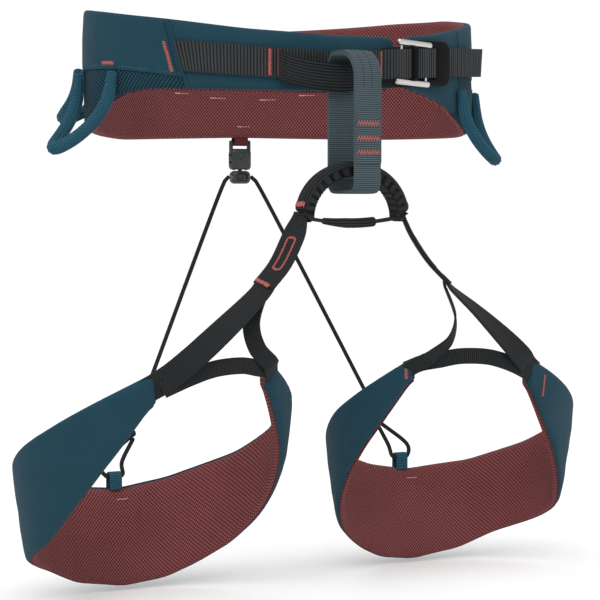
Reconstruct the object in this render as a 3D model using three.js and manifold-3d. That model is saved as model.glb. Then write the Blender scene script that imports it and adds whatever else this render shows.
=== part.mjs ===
// Sport climbing harness in the shape it takes when worn.
// Millimetres, +Z up. The front faces -Y and +X is the wearer's left.
// The origin is the middle of the waist ring, at the height of the webbing at the sides.
import * as THREE from 'three';
import Module from 'manifold-3d';
import { mergeVertices } from 'three/addons/utils/BufferGeometryUtils.js';

// ---------- driving dimensions ----------
const GAP = 0.4; // clear space between touching pieces

// Waist pad: an oval ring, open at the front under the buckle. Angles run from the front (0)
// toward the wearer's left (+90) and round the back (180).
const WAIST_MIDDLE_X = 3; // the belt sits a little toward the wearer's left
const WAIST_HALF_WIDTH = 149;
const WAIST_HALF_DEPTH = 80;
const PAD_LAYERS = { lining: [-10, -8.8], foam: [-8.4, -1.8], shell: [-1.4, 0] };
const PAD_LEFT_END = 23.5;
const PAD_RIGHT_END = 18.5;
const SEAM_RIGHT = -46; // seam between the front and side shells
const SEAM_LEFT = 49;
const WING_END = 112; // seam between the side and back shells
const PAD_TOP = [
  [-180, 22], [-155, 26], [-125, 31], [-100, 29], [-80, 26], [-50, 20], [-26, 14], [0, 11], [19, 11.5],
  [24, 12.5], [38, 16], [49, 20], [75, 28], [100, 32], [125, 31], [155, 26], [180, 22],
];
const PAD_BOTTOM = [
  [-180, -55], [-135, -58], [-105, -54], [-90, -46], [-77, -36], [-68, -30], [-58, -27], [-20, -28],
  [0, -28], [19, -25], [24, -24], [35, -30], [45, -36], [55, -46], [70, -53], [90, -55], [135, -56],
  [180, -55],
];
const WING_EDGE = [[-113, -12], [-72, -13], [-51, -17], [-44, -20], [48, -12], [72, -14], [113, -12]];

// Waist webbing and the buckle
const WEBBING_WIDTH = 20;
const WEBBING_THICKNESS = 1.7;
const WEBBING_HEIGHT = [
  [-46, -4.5], [-24, -7.8], [-12, -9.2], [0, -10.5], [11, -8.2], [20, -7], [36, -4.5], [62, -2],
];
const WEBBING_START = -45;
const WEBBING_TUCK = 22.2; // where the webbing dips into the buckle
const TAIL_START = 25.2;
const TAIL_END = 61;
const PLATE_ANGLE = 29.6; // middle of the buckle's plate
const FRAME_ANGLE = 22.7; // middle of its slide frame
const BUCKLE_HEIGHT = 31;
const PLATE_LENGTH = 34;
const FRAME_LENGTH = 32;
const BUCKLE_BAR = 3.2;
const PLATE_CORNER = 5;
const PLATE_THICKNESS = 1.8;
const PLATE_OUT = 3.4; // the plate's distance from the pad
const WINDOW_RIM = 4; // from the plate's front edge to its window
const WINDOW_END = 5; // where the window ends, from the plate's middle
const WINDOW_HALF_HEIGHT = 11.5;
const FRAME_OUT = 6.1; // the frame's distance from the pad
const WEBBING_LIFT = 8.4; // the webbing's distance from the pad where it passes over the frame

// Tie-in sleeve and belay loop
const SLEEVE_ENDS = [-17.5, 9.2];
const SLEEVE_BULGE = 9;
const SLEEVE_THICKNESS = 3;
const LOOP_WIDTH = 20;
const LOOP_THICKNESS = 3.2;
const LOOP_DEPTH = 40;
const LOOP_TOP = -0.6;
const LOOP_BOTTOM = -97;
const LOOP_MIDDLE_Y = -105.2;
const LOOP_CORNER = 9;
const LOOP_FRONT_CORNER = 20; // where the loop leans back over the sleeve

// Bridge between the leg straps, its cross strap, and the leg straps
const BRIDGE_Y = -105;
const BRIDGE_HALF_SPAN = 38;
const BRIDGE_TOP = -78;
const BRIDGE_FOOT = -111;
const BRIDGE_WIDTH = 14;
const BRIDGE_THICKNESS = 5;
const STRAP_WIDTH = 18;
const STRAP_THICKNESS = 2;
const CROSS_STRAP_WIDTH = 9;
const CROSS_STRAP_SAG = 3.5;
const OUTER_STRAND_WIDTHS = [16, 17];
const INNER_STRAND_WIDTHS = [13, 11];
const THIN_WEBBING = 1.6; // thickness of the inner strand and the keeper
const KEEPER_WIDTH = 11;
const SPLIT = [70, -112, -156]; // where a leg strap divides in two

// Leg loops: an oval band round each thigh, open at the front. Angles run from the front (0)
// toward the outside of the thigh (90) and round the back (180).
const LEG_MIDDLE = [117, -43];
const LEG_HALF_WIDTH = 98.5;
const LEG_HALF_DEPTH = 65;
const LEG_LAYERS = { lining: [-8, -6.8], foam: [-6.4, -1.6], shell: [-1.2, 0] };
const LEG_OUTER_END = 16;
const LEG_INNER_END = 321;
const LEG_LEAN = 9; // how far the lower edge stands inside the upper edge
const LEG_TOP = [
  [16, -211], [45, -233], [65, -248], [90, -264], [120, -283], [150, -297], [180, -302], [201, -296],
  [235, -278], [258, -260], [270, -249], [285, -238], [300, -226], [321, -208],
];
const LEG_BOTTOM = [
  [16, -229], [30, -258], [45, -284], [60, -307], [75, -324], [105, -338], [135, -350], [155, -362],
  [180, -368], [200, -364], [215, -355], [235, -340], [253, -322], [270, -301], [285, -281],
  [300, -260], [310, -243], [321, -222],
];
const TAB_X = { right: 121, left: 110 }; // riser tabs on the leg loops
const TAB_Y = 17.6;
const TAB_TOP = -289;
const TAB_WIDTH = 9;
const TAB_HALF_GAP = 2.6;

// Rear risers
const RISER = [6, 76]; // middle of the riser buckle, x and y
const SOCKET_TOP = -63;
const SOCKET_BOTTOM = -79;
const PLUG_BOTTOM = -89;
const RISER_BUCKLE_WIDTH = 17;
const RISER_BUCKLE_DEPTH = 8;
const SOCKET_WALL = 1.5;
const CORD_DIAMETER = 3;
const KNOT_SHARE = 0.865; // how far down the riser cord its knot lies
const KNOT_RADIUS = 3.6;

// Gear loops and haul loop
const GEAR_DIAMETER = 7;
const GEAR_LOOPS = [
  { name: 'gear_loop_front_right', from: -70, to: -97, height: -16, drop: 50, flare: 27 },
  { name: 'gear_loop_rear_right', from: -108, to: -136, height: -12, drop: 32, flare: 18 },
  { name: 'gear_loop_front_left', from: 48, to: 80, height: -24, drop: 48, flare: 15 },
  { name: 'gear_loop_rear_left', from: 94, to: 124, height: -12, drop: 32, flare: 18 },
];
const HAUL_LOOP = { name: 'haul_loop', from: 172, to: 188, height: 2, drop: 34, flare: 6 };
const HAUL_DIAMETER = 5;

// ---------- materials ----------
const cloth = (color) => ({ color, roughness: 0.9, metalness: 0 });
const LOOKS = {
  shell: cloth(0x2a5566),
  mesh: cloth(0x1c3a46),
  lining: cloth(0x7a3a3c),
  foam: cloth(0x3a3a3c),
  webbing: cloth(0x242526),
  belay: cloth(0x58686f),
  binding: cloth(0x8b3b3e),
  steel: { color: 0xd9d9d6, roughness: 0.25, metalness: 1 },
  plate: { color: 0x111213, roughness: 0.4, metalness: 0.6 },
  plastic: { color: 0x17181a, roughness: 0.45, metalness: 0 },
  cord: cloth(0x151617),
};

// ---------- tools ----------
const wasm = await Module();
wasm.setup();

const point = (x, y, z) => new THREE.Vector3(x, y, z);
const radians = THREE.MathUtils.degToRad;
const mix = THREE.MathUtils.lerp;
const harness = new THREE.Group();

/** Adds one named piece to the harness. */
function add(name, look, geometry) {
  const mesh = new THREE.Mesh(geometry, new THREE.MeshStandardMaterial(LOOKS[look]));
  mesh.name = name;
  harness.add(mesh);
  return mesh;
}

/** The value of a list of [place, value] pairs at a place, in straight lines between the pairs. */
function profile(pairs, place) {
  const last = pairs.length - 1;
  if (place <= pairs[0][0]) return pairs[0][1];
  if (place >= pairs[last][0]) return pairs[last][1];
  const next = pairs.findIndex((pair) => pair[0] > place);
  const [from, low] = pairs[next - 1];
  const [to, high] = pairs[next];
  return mix(low, high, (place - from) / (to - from));
}

/** A block, cut into steps along its length, whose points are moved by place(along, in, up). */
function bentBlock(steps, place) {
  const block = new THREE.BoxGeometry(1, 1, 1, steps, 1, 1);
  const spots = block.attributes.position;
  for (let i = 0; i < spots.count; i += 1) {
    const moved = place(spots.getX(i) + 0.5, spots.getY(i) + 0.5, spots.getZ(i) + 0.5);
    spots.setXYZ(i, moved.x, moved.y, moved.z);
  }
  return block;
}

/** A flat strap along a smooth curve. Its width lies along directions blended from end to end. */
function strap(points, widths, thickness, directions, steps) {
  const curve = new THREE.CatmullRomCurve3(points);
  const acrossAt = (along, tangent) => {
    const across = directions[0].clone().lerp(directions[directions.length - 1], along);
    return across.addScaledVector(tangent, -across.dot(tangent)).normalize();
  };
  return bentBlock(steps, (along, inward, up) => {
    const tangent = curve.getTangent(along);
    const across = acrossAt(along, tangent);
    const normal = across.clone().cross(tangent);
    const width = mix(widths[0], widths[widths.length - 1], along);
    return curve.getPoint(along).addScaledVector(normal, (inward - 0.5) * thickness)
      .addScaledVector(across, (up - 0.5) * width);
  });
}

/** A round cord along a smooth curve, closed at both ends. */
function roundCord(points, diameter, sides, steps) {
  const section = new THREE.Shape();
  for (let i = 0; i < sides; i += 1) {
    const turn = (i / sides) * Math.PI * 2;
    const corner = [Math.cos(turn) * diameter / 2, Math.sin(turn) * diameter / 2];
    if (i === 0) section.moveTo(...corner);
    else section.lineTo(...corner);
  }
  section.closePath();
  const extrudePath = new THREE.CatmullRomCurve3(points);
  return new THREE.ExtrudeGeometry(section, { steps, extrudePath, bevelEnabled: false });
}

/** A rounded rectangle, as a shape or as a hole path. */
function roundedOutline(outline, width, height, radius, upperLeft = radius) {
  const [x, y] = [width / 2, height / 2];
  outline.moveTo(-x + radius, -y);
  outline.lineTo(x - radius, -y);
  outline.absarc(x - radius, -y + radius, radius, -Math.PI / 2, 0);
  outline.lineTo(x, y - radius);
  outline.absarc(x - radius, y - radius, radius, 0, Math.PI / 2);
  outline.lineTo(-x + upperLeft, y);
  outline.absarc(-x + upperLeft, y - upperLeft, upperLeft, Math.PI / 2, Math.PI);
  outline.lineTo(-x, -y + radius);
  outline.absarc(-x + radius, -y + radius, radius, Math.PI, Math.PI * 1.5);
  return outline;
}

/** A three.js geometry as a solid that can be cut and joined. */
function solid(geometry) {
  const bare = geometry.clone();
  bare.deleteAttribute('normal');
  bare.deleteAttribute('uv');
  const merged = mergeVertices(bare, 1e-4);
  return new wasm.Manifold(new wasm.Mesh({
    numProp: 3,
    vertProperties: new Float32Array(merged.attributes.position.array),
    triVerts: new Uint32Array(merged.index.array),
  }));
}

/** A solid as a three.js geometry. */
function geometryOf(body) {
  const mesh = body.getMesh();
  const geometry = new THREE.BufferGeometry();
  geometry.setAttribute('position', new THREE.BufferAttribute(new Float32Array(mesh.vertProperties), 3));
  geometry.setIndex(new THREE.BufferAttribute(new Uint32Array(mesh.triVerts), 1));
  return geometry;
}

/** A box from its lowest to its highest corner, as a solid. */
function boxSolid(low, high) {
  const box = new THREE.BoxGeometry(high[0] - low[0], high[1] - low[1], high[2] - low[2]);
  box.translate((low[0] + high[0]) / 2, (low[1] + high[1]) / 2, (low[2] + high[2]) / 2);
  return solid(box);
}

// ---------- waist pad ----------
/** A point on the waist oval, standing out from the shell's outer face. */
function waistPoint(angle, out, z) {
  const turn = radians(angle);
  const x = WAIST_MIDDLE_X + (WAIST_HALF_WIDTH + out) * Math.sin(turn);
  return point(x, -(WAIST_HALF_DEPTH + out) * Math.cos(turn), z);
}

const aroundFront = (angle) => (angle > 180 ? angle - 360 : angle);
const padTop = (angle) => profile(PAD_TOP, aroundFront(angle));
const padBottom = (angle) => profile(PAD_BOTTOM, aroundFront(angle));
const wingEdge = (angle) => profile(WING_EDGE, aroundFront(angle));

/** A curved panel of the waist pad between two angles, from its lower to its upper edge. */
function waistPanel([from, to], [inner, outer], lowEdge, highEdge, steps) {
  return bentBlock(steps, (along, inward, up) => {
    const angle = mix(from, to, along);
    return waistPoint(angle, mix(outer, inner, inward), mix(lowEdge(angle), highEdge(angle), up));
  });
}

function buildWaistPad() {
  const whole = [PAD_LEFT_END, PAD_RIGHT_END + 360];
  add('waist_lining', 'lining', waistPanel(whole, PAD_LAYERS.lining, padBottom, padTop, 64));
  const moved = (edge, by) => (angle) => edge(angle) + by;
  const foam = waistPanel(whole, PAD_LAYERS.foam, moved(padBottom, 0.5), moved(padTop, -0.5), 64);
  add('waist_foam', 'foam', foam);
  const shells = [
    ['waist_shell_front_right', [SEAM_RIGHT, PAD_RIGHT_END], padBottom, padTop, 14],
    ['waist_shell_side_right', [-WING_END, SEAM_RIGHT - GAP], moved(wingEdge, GAP), padTop, 12],
    ['waist_shell_back', [WING_END + GAP, 360 - WING_END - GAP], padBottom, padTop, 24],
    ['waist_shell_side_left', [SEAM_LEFT + GAP, WING_END], moved(wingEdge, GAP), padTop, 12],
    ['waist_shell_front_left', [PAD_LEFT_END, SEAM_LEFT], padBottom, padTop, 6],
  ];
  for (const [name, span, low, high, steps] of shells) {
    add(name, 'shell', waistPanel(span, PAD_LAYERS.shell, low, high, steps));
  }
  const meshes = [
    ['waist_mesh_right', [-WING_END, SEAM_RIGHT - GAP]],
    ['waist_mesh_left', [SEAM_LEFT + GAP, WING_END]],
  ];
  for (const [name, span] of meshes) {
    add(name, 'mesh', waistPanel(span, PAD_LAYERS.shell, padBottom, wingEdge, 12));
  }
}

// ---------- waist webbing, sleeve and belay loop ----------
const webbingLow = (angle) => profile(WEBBING_HEIGHT, angle) - WEBBING_WIDTH / 2;
const webbingHigh = (angle) => profile(WEBBING_HEIGHT, angle) + WEBBING_WIDTH / 2;

/** A length of waist webbing whose distance from the pad follows a profile. */
function waistWebbing([from, to], liftPairs, steps) {
  return bentBlock(steps, (along, inward, up) => {
    const angle = mix(from, to, along);
    const out = profile(liftPairs, angle) + mix(WEBBING_THICKNESS, 0, inward);
    return waistPoint(angle, out, mix(webbingLow(angle), webbingHigh(angle), up));
  });
}

function buildWaistWebbing() {
  const up = WEBBING_LIFT;
  const overFrame = [[9.5, GAP], [11, 1.9], [12.2, 1.9], [14, up], [WEBBING_TUCK, up]];
  add('waist_webbing', 'webbing', waistWebbing([WEBBING_START, WEBBING_TUCK], overFrame, 44));
  const underPlate = [[29.9, up], [31.3, 0.9], [37, 0.9], [40, GAP]];
  add('waist_webbing_tail', 'webbing', waistWebbing([TAIL_START, TAIL_END], underPlate, 72));
  const guardLow = (angle) => webbingLow(angle) - 6;
  const guardHigh = (angle) => webbingHigh(angle) + 2;
  add('buckle_guard', 'webbing', waistPanel([11.8, 27], [GAP, 1.4], guardLow, guardHigh, 6));
}

function buildSleeve() {
  const bulge = (share) => Math.sin(share * Math.PI) ** 0.5;
  const sleeve = bentBlock(16, (along, inward, up) => {
    const angle = mix(...SLEEVE_ENDS, along);
    const lift = WEBBING_THICKNESS + 2.4 * GAP + SLEEVE_BULGE * bulge(along);
    const out = lift + mix(SLEEVE_THICKNESS, 0, inward);
    const middle = profile(WEBBING_HEIGHT, angle) - 8 * bulge(along);
    return waistPoint(angle, out, middle + (up - 0.5) * (WEBBING_WIDTH - 0.6));
  });
  add('tie_in_sleeve', 'webbing', sleeve);
}

function buildBelayLoop() {
  const height = LOOP_TOP - LOOP_BOTTOM;
  const loop = roundedOutline(new THREE.Shape(), LOOP_DEPTH, height, LOOP_CORNER, LOOP_FRONT_CORNER);
  const hole = roundedOutline(new THREE.Path(), LOOP_DEPTH - 2 * LOOP_THICKNESS,
    height - 2 * LOOP_THICKNESS, LOOP_CORNER - LOOP_THICKNESS, LOOP_FRONT_CORNER - LOOP_THICKNESS);
  loop.holes.push(hole);
  const settings = { depth: LOOP_WIDTH, steps: 1, curveSegments: 8, bevelEnabled: false };
  const band = new THREE.ExtrudeGeometry(loop, settings);
  const turn = new THREE.Matrix4().makeBasis(point(0, 1, 0), point(0, 0, 1), point(1, 0, 0));
  band.applyMatrix4(turn);
  band.translate(-LOOP_WIDTH / 2 + 1, LOOP_MIDDLE_Y, (LOOP_TOP + LOOP_BOTTOM) / 2);
  add('belay_loop', 'belay', band);
}

// ---------- buckle ----------
/** Places a piece made flat (x along the belt, y up, z outward) on the waist at an angle. */
function placeOnWaist(geometry, angle, out, z) {
  const middle = waistPoint(angle, out, z);
  const turn = radians(angle);
  const along = point(WAIST_HALF_WIDTH * Math.cos(turn), WAIST_HALF_DEPTH * Math.sin(turn), 0).normalize();
  const up = point(0, 0, 1);
  const outward = along.clone().cross(up);
  const matrix = new THREE.Matrix4().makeBasis(along, up, outward);
  matrix.setPosition(middle);
  return geometry.applyMatrix4(matrix);
}

function buildBuckle() {
  const plate = roundedOutline(new THREE.Shape(), PLATE_LENGTH, BUCKLE_HEIGHT, PLATE_CORNER);
  const start = -PLATE_LENGTH / 2 + WINDOW_RIM;
  const opening = new THREE.Path();
  opening.moveTo(start, -WINDOW_HALF_HEIGHT);
  opening.lineTo(WINDOW_END, -WINDOW_HALF_HEIGHT);
  opening.lineTo(WINDOW_END, WINDOW_HALF_HEIGHT);
  opening.lineTo(start, WINDOW_HALF_HEIGHT);
  plate.holes.push(opening);
  const settings = { depth: PLATE_THICKNESS, curveSegments: 4, bevelEnabled: false };
  const flat = new THREE.ExtrudeGeometry(plate, settings);
  const height = profile(WEBBING_HEIGHT, PLATE_ANGLE);
  add('buckle_plate', 'plate', placeOnWaist(flat, PLATE_ANGLE, PLATE_OUT, height));

  const [end, top] = [FRAME_LENGTH / 2, BUCKLE_HEIGHT / 2];
  const inner = top - BUCKLE_BAR;
  let frame = boxSolid([-end, inner, 0], [end, top, BUCKLE_BAR]);
  frame = frame.add(boxSolid([-end, -top, 0], [end, -inner, BUCKLE_BAR]));
  frame = frame.add(boxSolid([-end, -inner - 1, 0], [-end + 3, inner + 1, 1.3]));
  frame = frame.add(boxSolid([end - 4, -inner - 1, 0], [end - 1, inner + 1, 1.2]));
  const level = profile(WEBBING_HEIGHT, FRAME_ANGLE);
  add('buckle_frame', 'steel', placeOnWaist(geometryOf(frame), FRAME_ANGLE, FRAME_OUT, level));
}

// ---------- bridge ----------
function buildBridge() {
  const rise = BRIDGE_TOP - BRIDGE_FOOT;
  const arch = [];
  for (let i = 0; i <= 10; i += 1) {
    const turn = Math.PI * (1 - i / 10);
    const height = BRIDGE_FOOT + rise * Math.sin(turn);
    arch.push(point(BRIDGE_HALF_SPAN * Math.cos(turn), BRIDGE_Y, height));
  }
  const across = [point(0, 1, 0)];
  add('leg_bridge', 'webbing', strap(arch, [BRIDGE_WIDTH], BRIDGE_THICKNESS, across, 20));
  const span = BRIDGE_HALF_SPAN - BRIDGE_THICKNESS / 2 - GAP;
  const low = BRIDGE_FOOT - 1;
  const dip = point(0, BRIDGE_Y, low - CROSS_STRAP_SAG);
  const tie = [point(-span, BRIDGE_Y, low), dip, point(span, BRIDGE_Y, low)];
  add('bridge_cross_strap', 'webbing', strap(tie, [CROSS_STRAP_WIDTH], STRAP_THICKNESS, across, 8));
}

// ---------- leg loops ----------
/** A point on a thigh's oval, standing out from the shell's outer face. */
function legPoint(side, angle, out, z) {
  const turn = radians(angle);
  const x = LEG_MIDDLE[0] + (LEG_HALF_WIDTH + out) * Math.sin(turn);
  return point(side * x, LEG_MIDDLE[1] - (LEG_HALF_DEPTH + out) * Math.cos(turn), z);
}

/** A curved band of a leg loop. A mirrored side runs backwards, to keep its faces outward. */
function legBand(side, [from, to], [inner, outer], trim, steps) {
  return bentBlock(steps, (along, inward, up) => {
    const angle = mix(from, to, side > 0 ? along : 1 - along);
    const low = profile(LEG_BOTTOM, angle) + trim;
    const high = profile(LEG_TOP, angle) - trim;
    const lean = LEG_LEAN * (up - 1) * ((high - low) / 65);
    return legPoint(side, angle, mix(outer, inner, inward) + lean, mix(low, high, up));
  });
}

/** A point written for the wearer's left, placed on either side. */
const onSide = (side) => (x, y, z) => point(side * x, y, z);

function buildLeg(side, word) {
  const at = onSide(side);
  const whole = [LEG_OUTER_END, LEG_INNER_END];
  add(`leg_lining_${word}`, 'lining', legBand(side, whole, LEG_LAYERS.lining, 0, 48));
  add(`leg_foam_${word}`, 'foam', legBand(side, whole, LEG_LAYERS.foam, 0.5, 48));
  add(`leg_shell_${word}`, 'shell', legBand(side, whole, LEG_LAYERS.shell, 0, 48));

  const edgeOn = at(0.469, 0.883, 0);
  const main = [at(40, -105, -114), at(46, -106.5, -126), at(57, -110, -142), at(...SPLIT)];
  add(`leg_strap_${word}`, 'webbing', strap(main, [STRAP_WIDTH], STRAP_THICKNESS + 1, [edgeOn], 10));

  const outer = [at(74, -112.5, -161), at(92, -115, -176), at(116, -114.5, -196), at(143, -111, -217)];
  const outerAcross = [at(0.469, 0.883, 0.1), at(0.5, -0.1, 0.86)];
  const outerStrand = strap(outer, OUTER_STRAND_WIDTHS, STRAP_THICKNESS, outerAcross, 14);
  add(`leg_strand_outer_${word}`, 'webbing', outerStrand);

  const inner = [at(71, -108.5, -160), at(78, -110, -180), at(74, -110, -196), at(61, -105.5, -207.5)];
  const innerAcross = [at(0.469, 0.883, 0), at(0.5, 0.3, -0.8)];
  const innerStrand = strap(inner, INNER_STRAND_WIDTHS, THIN_WEBBING, innerAcross, 14);
  add(`leg_strand_inner_${word}`, 'webbing', innerStrand);

  const keeper = [at(60, -96, -212), at(70, -102.5, -210), at(84, -107.5, -207.5), at(104, -110.5, -208.5),
    at(122, -110.5, -213.5)];
  add(`leg_keeper_${word}`, 'webbing', strap(keeper, [KEEPER_WIDTH], THIN_WEBBING, [at(0, 0, 1)], 10));

  const foot = profile(LEG_TOP, 180) + 2.2;
  const tab = foldedTab(TAB_WIDTH, TAB_HALF_GAP, 1.4, TAB_TOP - foot);
  tab.translate(side * TAB_X[word], TAB_Y, foot);
  add(`leg_riser_tab_${word}`, 'shell', tab);
}

// ---------- rear risers ----------
/** A webbing tab folded over a cord: an upside-down U standing height above its foot. */
function foldedTab(width, halfGap, thickness, rise) {
  const height = Math.abs(rise);
  const half = halfGap + thickness;
  const outline = new THREE.Shape();
  outline.moveTo(-half, 0);
  outline.lineTo(-halfGap, 0);
  outline.lineTo(-halfGap, height - half);
  outline.absarc(0, height - half, halfGap, Math.PI, 0, true);
  outline.lineTo(halfGap, 0);
  outline.lineTo(half, 0);
  outline.lineTo(half, height - half);
  outline.absarc(0, height - half, half, 0, Math.PI);
  const settings = { depth: width, steps: 1, curveSegments: 7, bevelEnabled: false };
  const tab = new THREE.ExtrudeGeometry(outline, settings);
  tab.applyMatrix4(new THREE.Matrix4().makeBasis(point(0, 1, 0), point(0, 0, 1), point(1, 0, 0)));
  return tab.translate(-width / 2, 0, 0);
}

/** A box given by its middle in x and y and its lowest and highest z, as a solid. */
function blockSolid(middleX, middleY, sizeX, sizeY, low, high) {
  const least = [middleX - sizeX / 2, middleY - sizeY / 2, low];
  const most = [middleX + sizeX / 2, middleY + sizeY / 2, high];
  return boxSolid(least, most);
}

function buildRiserBuckle() {
  const [x, y] = RISER;
  const ear = 2;
  const earX = RISER_BUCKLE_WIDTH / 2 - ear / 2;
  let socket = blockSolid(x, y, RISER_BUCKLE_WIDTH, RISER_BUCKLE_DEPTH, SOCKET_BOTTOM, SOCKET_TOP);
  for (const side of [-1, 1]) {
    socket = socket.add(blockSolid(x + side * earX, y, ear, 3, SOCKET_TOP - 1, SOCKET_TOP + 6));
  }
  socket = socket.add(blockSolid(x, y, RISER_BUCKLE_WIDTH - ear, 1.8, SOCKET_TOP + 3, SOCKET_TOP + 5));
  const hollow = [RISER_BUCKLE_WIDTH - 2 * SOCKET_WALL, RISER_BUCKLE_DEPTH - 2 * SOCKET_WALL];
  socket = socket.subtract(blockSolid(x, y, hollow[0], hollow[1], SOCKET_BOTTOM - 1, SOCKET_TOP - 2));
  const windowHigh = SOCKET_TOP - 4;
  const windows = blockSolid(x, y, RISER_BUCKLE_WIDTH + 2, hollow[1], windowHigh - 7, windowHigh);
  add('riser_socket', 'plastic', geometryOf(socket.subtract(windows)));

  const base = SOCKET_BOTTOM - GAP;
  let plug = blockSolid(x, y, RISER_BUCKLE_WIDTH - 1, RISER_BUCKLE_DEPTH, PLUG_BOTTOM, base);
  plug = plug.add(blockSolid(x, y, 2.4, 3.6, base - 1, windowHigh - 3));
  plug = plug.subtract(blockSolid(x, y, 8, RISER_BUCKLE_DEPTH + 2, PLUG_BOTTOM + 2.6, base - 2.6));
  add('riser_plug', 'plastic', geometryOf(plug));

  for (const [side, word] of mirrored) {
    const arm = blockSolid(x + side * 5, y, 1.8, 3.6, base + GAP, windowHigh - 1);
    const hook = blockSolid(x + side * 6.6, y, 2.8, 3.6, windowHigh - 5.8, windowHigh - 1);
    add(`riser_prong_${word}`, 'plastic', geometryOf(arm.add(hook)));
  }

  const tab = foldedTab(11, 1.7, 1.3, 7);
  tab.rotateX(Math.PI);
  tab.translate(x, y, padBottom(180) - GAP);
  add('riser_tab', 'binding', tab);
}

function buildRiserCords() {
  for (const [side, word] of mirrored) {
    const tabX = side * TAB_X[word];
    const start = point(RISER[0] + side * (RISER_BUCKLE_WIDTH / 2 + 1), RISER[1], PLUG_BOTTOM + 5);
    const hold = point(tabX, TAB_Y, TAB_TOP - 1.4 - TAB_HALF_GAP);
    const knot = start.clone().lerp(hold, KNOT_SHARE);
    const bow = start.clone().lerp(knot, 0.12).add(point(side * 1.5, 0, 1.5));
    const stop = start.clone().lerp(knot, 0.955);
    add(`riser_cord_${word}`, 'cord', roundCord([start, bow, stop], CORD_DIAMETER, 8, 24));
    const ball = new THREE.SphereGeometry(KNOT_RADIUS, 8, 6);
    ball.translate(knot.x, knot.y, knot.z);
    add(`riser_knot_${word}`, 'cord', ball);
    const loop = [
      point(knot.x - 2.2, knot.y, knot.z - 4.8), point(tabX - 8.4, mix(knot.y, TAB_Y, 0.6), hold.z + 10),
      point(tabX - 6.5, TAB_Y, hold.z + 1.5), point(tabX, TAB_Y, hold.z),
      point(tabX + 6.5, TAB_Y, hold.z + 1.5), point(tabX + 7.4, mix(knot.y, TAB_Y, 0.6), hold.z + 10),
      point(knot.x + 2.2, knot.y, knot.z - 4.8),
    ];
    add(`riser_loop_${word}`, 'cord', roundCord(loop, CORD_DIAMETER, 8, 22));
  }
}

// ---------- gear loops and haul loop ----------
/** A stiff loop hung from the belt: it drops, swings outward and rises again. */
function buildHungLoop({ name, from, to, height, drop, flare }, look, diameter) {
  const path = [];
  for (let i = 0; i <= 10; i += 1) {
    const share = i / 10;
    const sag = Math.sin(share * Math.PI) ** 0.6;
    path.push(waistPoint(mix(from, to, share), 4 + flare * sag ** 2.5, height - drop * sag));
  }
  add(name, look, roundCord(path, diameter, 8, 20));
}

const mirrored = [[-1, 'right'], [1, 'left']];
buildWaistPad();
buildWaistWebbing();
buildSleeve();
buildBelayLoop();
buildBuckle();
buildBridge();
for (const [side, word] of mirrored) buildLeg(side, word);
buildRiserBuckle();
buildRiserCords();
for (const loop of GEAR_LOOPS) buildHungLoop(loop, 'shell', GEAR_DIAMETER);
buildHungLoop(HAUL_LOOP, 'webbing', HAUL_DIAMETER);

export default harness;
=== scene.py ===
"""Sport climbing harness: padded belt, leg loops, webbing, buckle, belay loop, risers and gear loops.

Every piece is shaped from the same ovals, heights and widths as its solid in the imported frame.
Shapes are written in millimetres and turned into metres where a point is placed.
"""

import logging
import math
import random
from dataclasses import dataclass
from enum import Enum
from functools import lru_cache
from typing import Callable, Optional, Sequence

import bpy
from mathutils import Matrix, Vector, noise


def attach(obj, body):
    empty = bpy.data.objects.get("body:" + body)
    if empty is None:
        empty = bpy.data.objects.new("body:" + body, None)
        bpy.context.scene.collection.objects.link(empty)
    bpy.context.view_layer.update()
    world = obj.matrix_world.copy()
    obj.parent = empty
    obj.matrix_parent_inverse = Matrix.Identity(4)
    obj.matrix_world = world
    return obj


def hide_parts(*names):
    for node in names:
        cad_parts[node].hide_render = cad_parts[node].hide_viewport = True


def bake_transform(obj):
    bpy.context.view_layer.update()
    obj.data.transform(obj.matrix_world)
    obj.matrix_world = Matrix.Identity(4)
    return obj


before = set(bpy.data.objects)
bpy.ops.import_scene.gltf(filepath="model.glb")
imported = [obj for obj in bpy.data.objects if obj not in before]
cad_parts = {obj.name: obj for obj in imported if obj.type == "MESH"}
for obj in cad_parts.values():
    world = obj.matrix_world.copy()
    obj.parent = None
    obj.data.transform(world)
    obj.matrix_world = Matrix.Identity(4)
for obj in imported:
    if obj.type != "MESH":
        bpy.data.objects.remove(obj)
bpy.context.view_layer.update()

log = logging.getLogger("harness")
MM = 0.001
TURN = 2 * math.pi
GAP = 0.4  # clear space between touching pieces, mm
SIGHT = (0.469, 0.883)  # the direction the camera looks along, seen from above

Pairs = Sequence[tuple[float, float]]
Place = Callable[[float, float, float], Vector]
Edge = Callable[[float], float]
Obj = bpy.types.Object


# ---------- numbers and curves ----------
def mix(low: float, high: float, share: float) -> float:
    """The value a share of the way from low to high."""
    return low + (high - low) * share


def clamp(value: float, low: float = 0.0, high: float = 1.0) -> float:
    """The value, kept between low and high."""
    return max(low, min(high, value))


def profile(pairs: Pairs, place: float) -> float:
    """The value of a list of (place, value) pairs at a place, straight between the pairs."""
    if place <= pairs[0][0]:
        return pairs[0][1]
    for (start, low), (end, high) in zip(pairs, pairs[1:]):
        if place <= end:
            return mix(low, high, (place - start) / (end - start))
    return pairs[-1][1]


def soft_profile(pairs: Pairs, place: float, reach: float = 4.0) -> float:
    """The same with its corners rounded.

    Args:
        pairs: the (place, value) pairs.
        place: where the value is wanted.
        reach: how far round a corner the rounding goes, in the places' own unit.
    Returns:
        The eased value.
    """
    shares = (-1.0, -0.6, -0.2, 0.2, 0.6, 1.0)
    return sum(profile(pairs, place + reach * share) for share in shares) / len(shares)


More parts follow.
